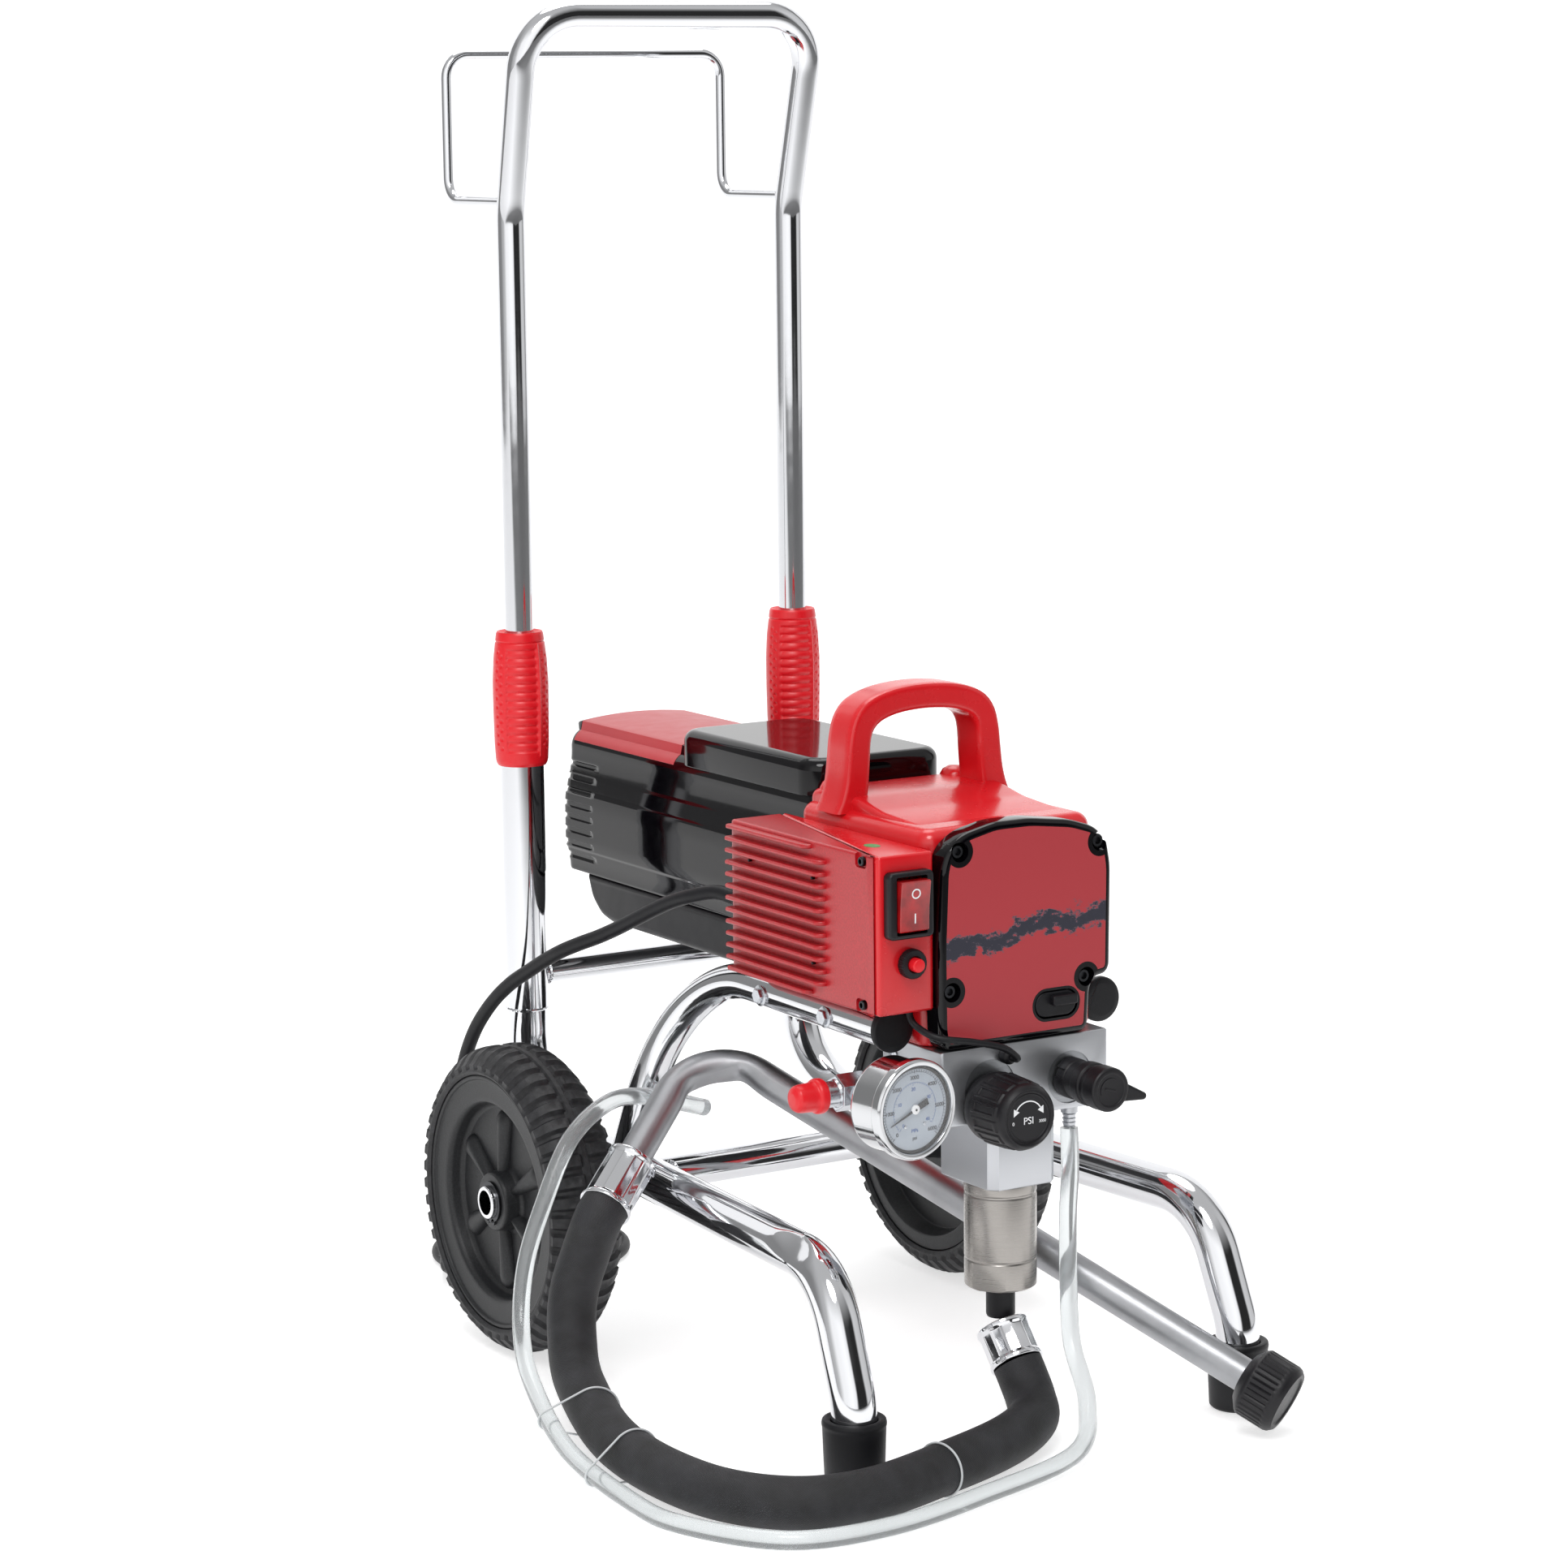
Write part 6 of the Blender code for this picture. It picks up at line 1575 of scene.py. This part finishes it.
def pressureGauge():
    near, far, r, b = gauge["near"], gauge["far"], gauge["case"], gauge["bezel"]
    case = [(0, near), (r - 0.003, near), (r - 0.0006, near + 0.0012), (r, near + 0.003), (r, far - 0.009),
            (r + 0.0006, far - 0.0084), (b - 0.0002, far - 0.0082), (b, far - 0.0074),
            (b, far - 0.0018), (b - 0.0014, far), (b - 0.0042, far - 0.0002), (b - 0.0048, far - 0.0016),
            (b - 0.0048, far - 0.004), (0, far - 0.004)]
    build("gauge_body", placed(revolve(softened(case, 0.0005, 4), 120), dialAt(0)), gaugeSteel, "cart",
          ("gauge_case",), sharp=30)
    ring = [(0.0284, far - 0.0039), (0.0303, far - 0.0039), (0.0303, far - 0.0022), (0.0284, far - 0.003)]
    build("gauge_gasket", placed(revolve(ring, 96), dialAt(0)), rubber, "cart")
    face = [(0, far - 0.004), (0.0286, far - 0.004), (0.0286, far - 0.0036), (0, far - 0.0036)]
    build("gauge_dial", placed(revolve(face, 96), dialAt(0)), dialPaint, "cart")
    surface = far - 0.0036
    black, blue = [], []
    start = math.radians(225)
    step = math.radians(gauge["sweep"])
    def tick(value, inner, outer, width):
        a = start - step * value
        bar = slab(roundRect(outer - inner, width, width * 0.3, (inner + outer) / 2, 0, 2), 0, 0.00012,
                   0.00003, 1)
        return placed(spun(bar, a), dialAt(surface))
    for i in range(61):
        black.append(tick(i / 60, 0.0262 if i % 10 else 0.025, 0.028, 0.00022 if i % 5 else 0.00036))
    for i in range(41):
        blue.append(tick(i / 41.37, 0.0178 if i % 10 else 0.0168, 0.019, 0.00018 if i % 5 else 0.0003))
    def ringLine(radius, value):
        a = start - np.linspace(0, step * value, 90)
        path = np.stack([radius * np.cos(a), radius * np.sin(a), 0 * a], -1)
        return placed(sweep(path, roundRect(0.0002, 0.0002, 0.00005, steps=1)), dialAt(surface))
    black.append(ringLine(0.0262, 1))
    blue.append(ringLine(0.019, 40 / 41.37))
    def words(text, radius, value, size):
        a = start - step * value
        to = dialAt(surface)
        x, y, z, origin = to
        return letters(text, size, (x, y, z, origin + x * radius * math.cos(a) + y * radius * math.sin(a)
            + z * 0.0001))
    for i in range(7):
        black.append(words(str(i * 1000), 0.0222, i / 6, 0.004))
    for i in range(5):
        blue.append(words(str(i * 10), 0.0143, i * 10 / 41.37, 0.0036))
    x, y, z, origin = dialAt(surface)
    blue.append(letters("MPa", 0.0036, (x, y, z, origin + y * -0.0148 + z * 0.0001)))
    black.append(letters("psi", 0.0036, (x, y, z, origin + y * -0.02 + z * 0.0001)))
    build("scale_black", black, blackInk, "cart", sharp=20)
    build("scale_blue", blue, blueInk, "cart", sharp=20)
    screws = [placed((p * 0.5 + np.array([sx, -0.011, 0]), f), dialAt(surface)) for sx in (-0.0085, 0.0085)
              for p, f in [socketScrew(0.0026, 0.0012)]]
    build("dial_screws", screws, zinc, "cart")
    lens = [(0, far - 0.0013), (0.0303, far - 0.0018), (0.0303, far - 0.0014), (0, far - 0.0008)]
    build("gauge_lens", placed(revolve(lens, 72), dialAt(0)), lensFilm, "cart")
    hand = np.array([(-0.0003, 0.0235), (-0.0009, 0.003), (-0.002, -0.003), (-0.0024, -0.012),
        (0.0024, -0.012), (0.002, -0.003), (0.0009, 0.003), (0.0003, 0.0235)])
    flat = slab(hand if turning(hand) > 0 else hand[::-1], 0.0008, 0.0014, 0.0001, 1)
    needle = placed(spun(flat, math.radians(112)), dialAt(surface))
    build("needle_hand", needle, blackInk, "needle", ("gauge_needle",))
    hub = placed(revolve(softened([(0, 0.0003), (0.0034, 0.0003), (0.0034, 0.0016), (0.0028, 0.002),
        (0, 0.002)], 0.0002), 40), dialAt(surface))
    build("needle_hub", hub, whiteInk, "needle")
    dot = placed(revolve([(0, 0.0018), (0.0009, 0.0018), (0.0009, 0.0022), (0, 0.0022)], 20), dialAt(surface))
    build("needle_pin", dot, blackInk, "needle")


def outletTee():
    # forged tee: round body with a hexagon, the gauge's branch, and the rubber cap on the open end
    to = leftward((0, at(0, -0.353, 0)[1], 0.26))
    a = np.radians(np.arange(6) * 60 + 30)
    hexagon = np.stack([0.0134 * np.cos(a), 0.0134 * np.sin(a)], -1)
    shapes = [placed(slab(hexagon, 0.1125, 0.135, 0.001, 3), to)]
    profile = [(0, 0.0714), (0.0123, 0.0714), (0.0124, 0.083), (0.0095, 0.0845), (0.0095, 0.112),
               (0.0105, 0.113), (0.0105, 0.1345), (0.0093, 0.1368), (0.0093, 0.1448), (0, 0.1448)]
    shapes.append(placed(revolve(softened(profile, 0.0006), 48), to))
    nut = slab(np.stack([0.0124 * np.cos(a), 0.0124 * np.sin(a)], -1), 0.072, 0.08, 0.001, 3)
    shapes.append(placed(nut, to))
    stem = [(0, 0.004), (0.0075, 0.004), (0.0075, 0.028), (0.006, 0.029), (0.006, 0.031), (0.0075, 0.032),
            (0.0075, 0.0398), (0, 0.0398)]
    shapes.append(placed(revolve(softened(stem, 0.0005), 40), dialAt(0)))
    shapes.append(placed(slab(np.stack([0.0088 * np.cos(a), 0.0088 * np.sin(a)], -1), 0.03, 0.039, 0.0008,
        3), dialAt(0)))
    build("outlet_tee", shapes, zinc, "cart", ("outlet_fitting",), sharp=30)
    cap = [(0, 0.1455), (0.011, 0.1455), (0.0122, 0.1464), (0.0125, 0.148), (0.0125, 0.151),
           (0.012, 0.1524), (0.0108, 0.1536), (0.0103, 0.156), (0.01, 0.164),
           (0.0094, 0.167), (0.0078, 0.1692), (0.0045, 0.1703), (0, 0.1705)]
    build("outlet_bung", placed(revolve(softened(cap, 0.0006), 56), to), gripRed, "cart", ("outlet_cap",))


def pressureKnob():
    # tapered knob with raised rectangular outlines round it, and a recessed face
    length, count, steps = 0.048, 14, 336
    middle = np.array([centre("pressure_knob")[0], blockFrontY, centre("pressure_knob")[2]])
    z = np.concatenate([[0.0004, 0.0012, 0.003, 0.006], np.linspace(0.0085, 0.0425, 52),
        [0.0442, 0.0458, 0.047, 0.0477, 0.048]])
    r = np.interp(z, [0, 0.003, 0.007, 0.03, 0.0425, 0.0445, 0.0465, 0.048], [0.0228, 0.024, 0.0252, 0.0244,
        0.0234, 0.023, 0.0219, 0.0204])
    angle = np.arange(steps) * 2 * math.pi / steps
    phase = np.abs(np.mod(angle[None, :] * count / (2 * math.pi), 1.0) - 0.5)
    zz = z[:, None]
    def rect(halfAngle, first, last):
        return (1 - smoothstep(phase, halfAngle - 0.02, halfAngle + 0.02)) * smoothstep(zz, first - 0.0004,
            first + 0.0004) * (1 - smoothstep(zz, last - 0.0004, last + 0.0004))
    outlineBand = rect(0.38, 0.0125, 0.0405) - rect(0.22, 0.016, 0.037)
    radius = r[:, None] + 0.001 * outlineBand
    outerPoints = np.stack([radius * np.cos(angle), radius * np.sin(angle), zz + 0 * angle], -1)
    face = np.array([(0.0196, 0.048), (0.0186, 0.0468), (0.0176, 0.0466), (0.0168, 0.0472), (0.016, 0.0466),
        (0.006, 0.0466)])
    facePoints = np.stack([face[:, :1] * np.cos(angle), face[:, :1] * np.sin(angle),
        face[:, 1:] + 0 * angle], -1)
    back = np.array([(0.006, 0.0004)])
    backPoints = np.stack([back[:, :1] * np.cos(angle), back[:, :1] * np.sin(angle),
        back[:, 1:] + 0 * angle], -1)
    grid = np.concatenate([backPoints, outerPoints, facePoints])
    rows = len(grid)
    points = grid.reshape(-1, 3)
    faces = [quadGrid(rows, steps), np.arange(steps)[::-1][None],
             ((rows - 1) * steps + np.arange(steps))[None]]
    build("pressure_dial", placed((points, faces), facing(middle)), matt, "pressure_knob",
          ("pressure_knob",), sharp=30)
    x, y, zAxis, origin = facing(middle)
    surface = 0.04665
    def onFace(px, py, turn=0.0):
        c, s = math.cos(turn), math.sin(turn)
        return (x * c + y * s, y * c - x * s, zAxis, origin + x * px + y * py + zAxis * surface)
    marks = [letters("PSI", 0.0072, onFace(0, -0.0022)), letters("0", 0.0036, onFace(-0.0128, -0.003)),
             letters("3000", 0.003, onFace(0.0116, -0.0034))]
    a = np.radians(np.linspace(150, 30, 40))
    sweepPath = np.stack([0.0118 * np.cos(a), 0.0118 * np.sin(a), 0 * a], -1)
    marks.append(placed(sweep(sweepPath, roundRect(0.0009, 0.0002, 0.00005, steps=1)), onFace(0, 0)))
    for end, way in ((150, 1), (30, -1)):
        tip = np.array([(0.0046, 0), (-0.0004, 0.0027), (-0.0004, -0.0027)])
        head = slab(tip if turning(tip) > 0 else tip[::-1], -0.0001, 0.0001, 0.00003, 1)
        e = math.radians(end)
        marks.append(placed(spun(head, e + way * math.pi / 2),
            onFace(0.0118 * math.cos(e), 0.0118 * math.sin(e))))
    build("dial_marks", marks, whiteInk, "pressure_knob", sharp=20)
    sensor = [(0, 0.0003), (0.0055, 0.0003), (0.0055, 0.0072), (0.0036, 0.0088), (0.0036, 0.0095),
              (0, 0.0095)]
    build("sensor_plug", placed(revolve(softened(sensor, 0.0005), 36),
        facing((-0.018, blockFrontY, 0.279))), rubber, "cart", ("pressure_sensor",))


def primeValve():
    middle = np.array([0.038, blockFrontY, 0.256])
    notch = lambda a, r, z: r - 0.0016 * (np.abs(np.mod(a + 0.4, 2 * math.pi / 3)
        - math.pi / 3) < 0.24) * (z < 0.01) * (r > 0.0138)
    body = [(0, 0.0004), (0.0145, 0.0004), (0.0146, 0.002), (0.0146, 0.0092), (0.014, 0.0104),
            (0.0134, 0.011), (0.0134, 0.019), (0.0128, 0.02), (0, 0.02)]
    build("valve_collar", placed(revolve(body, 120, notch), facing(middle)), matt, "cart",
          ("prime_valve_body",), sharp=30)
    stepped = [(0, 0.0208), (0.015, 0.0208), (0.0156, 0.0216), (0.0158, 0.029), (0.0152, 0.03),
               (0.0142, 0.0306), (0.0142, 0.034), (0.015, 0.035), (0.0158, 0.036),
               (0.016, 0.038), (0.0158, 0.0484), (0.0146, 0.0498), (0.012, 0.05), (0.0114, 0.0492),
               (0, 0.0492)]
    pointer = np.array([(0.012, -0.0072)] + arc(0.0315, 0, 0.0028, -75, 75, 10) + [(0.012, 0.0072)])
    tilt = math.radians(-16)
    shapes = [placed(revolve(softened(stepped, 0.0006), 96), facing(middle)),
              placed(spun(slab(pointer if turning(pointer) > 0 else pointer[::-1], 0.0385, 0.0475, 0.0018,
                  4), tilt), facing(middle))]
    marks = [placed(spun(slab(roundRect(0.0095, 0.0016, 0.0007), 0.049, 0.0496, 0.0002), tilt),
                    facing(middle))]
    a = np.radians(np.linspace(60, 200, 30))
    ringPath = np.stack([0.0082 * np.cos(a), 0.0082 * np.sin(a), 0 * a + 0.0493], -1)
    marks.append(placed(sweep(ringPath, roundRect(0.0009, 0.0005, 0.0001, steps=2)), facing(middle)))
    build("valve_lever", shapes + marks, matt, "prime_knob", ("prime_knob",), sharp=32)


def insideWorks():
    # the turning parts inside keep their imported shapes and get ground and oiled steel
    for name, material in (("rotor", darkSteel), ("crank_gear", zinc), ("piston_rod", stainless),
        ("connecting_rod", darkSteel)):
        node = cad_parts[name]
        node.data.materials.clear()
        node.data.materials.append(material)


def splashSheet():
    # printed polycarbonate label: matt red with a dark splash across its middle, its edge broken by noise
    made, tree, shader = startMaterial("splashSheet", "AE3138", 0.4, 0.0, **{"IOR": 1.58})
    place = addNode(tree, "TexCoord").outputs["Object"]
    split = addNode(tree, "SeparateXYZ", links=[("Vector", place)])
    slow = noise(tree, 22, 2, place)
    wave = noise(tree, 85, 6, objectPlace(tree, (1, 1, 1.6)), 0.72)
    height = addNode(tree, "Math", [("operation", "MULTIPLY_ADD"), (1, 0.03)],
        [(0, slow), (2, split.outputs["Z"])]).outputs[0]
    height = addNode(tree, "Math", [("operation", "MULTIPLY_ADD"), (1, 0.046)],
        [(0, wave), (2, height)]).outputs[0]
    height = addNode(tree, "Math", [("operation", "MULTIPLY_ADD"), (1, -0.13)],
        [(0, split.outputs["X"]), (2, height)]).outputs[0]
    band = addNode(tree, "MapRange", [("From Min", 0.36), ("From Max", 0.46)],
                   [("Value", height)]).outputs["Result"]
    red_, dark, grey = linear("A82A32"), linear("1B1B2C"), linear("544A56")
    colour = ramp(tree, band, [(0.0, red_), (0.36, red_), (0.378, grey), (0.392, dark), (0.5, dark),
        (0.515, grey), (0.535, red_), (1.0, red_)])
    tree.links.new(colour, shader.inputs["Base Color"])
    bumpFrom(tree, shader, noise(tree, 1600, 2), 0.1, 0.0002)
    return made


def dialFace():
    # enamelled dial, pale blue-grey with a slight unevenness
    made, tree, shader = startMaterial("dialFace", "A6AEB8", 0.35)
    tree.links.new(ramp(tree, noise(tree, 60, 2), [(0.3, linear("A1AAB5")), (0.7, linear("ABB4BE"))]),
                   shader.inputs["Base Color"])
    return made


def lensPolycarbonate():
    # thin clear window: almost nothing but its gloss
    made, tree, shader = startMaterial("lensPolycarbonate", "FFFFFF", 0.04, 0.0,
        **{"Alpha": 0.06, "IOR": 1.58})
    varyRoughness(tree, shader, noise(tree, 40, 2), 0.02, 0.07)
    return made


def redLabel():
    # muted red vinyl
    made, tree, shader = startMaterial("redLabel", "B5343A", 0.36)
    varyRoughness(tree, shader, noise(tree, 80, 3), 0.3, 0.44)
    return made


splashLabel, dialPaint, lensFilm, labelRed = splashSheet(), dialFace(), lensPolycarbonate(), redLabel()
print("motor, housing and control box")
motorCover()
gearHousing()
frontCover()
controlBox()
switchGear()
print("pump, gauge and knobs")
pumpBody()
inletCylinder()
suctionLine()
pressureGauge()
outletTee()
pressureKnob()
primeValve()
insideWorks()

print("finishing")
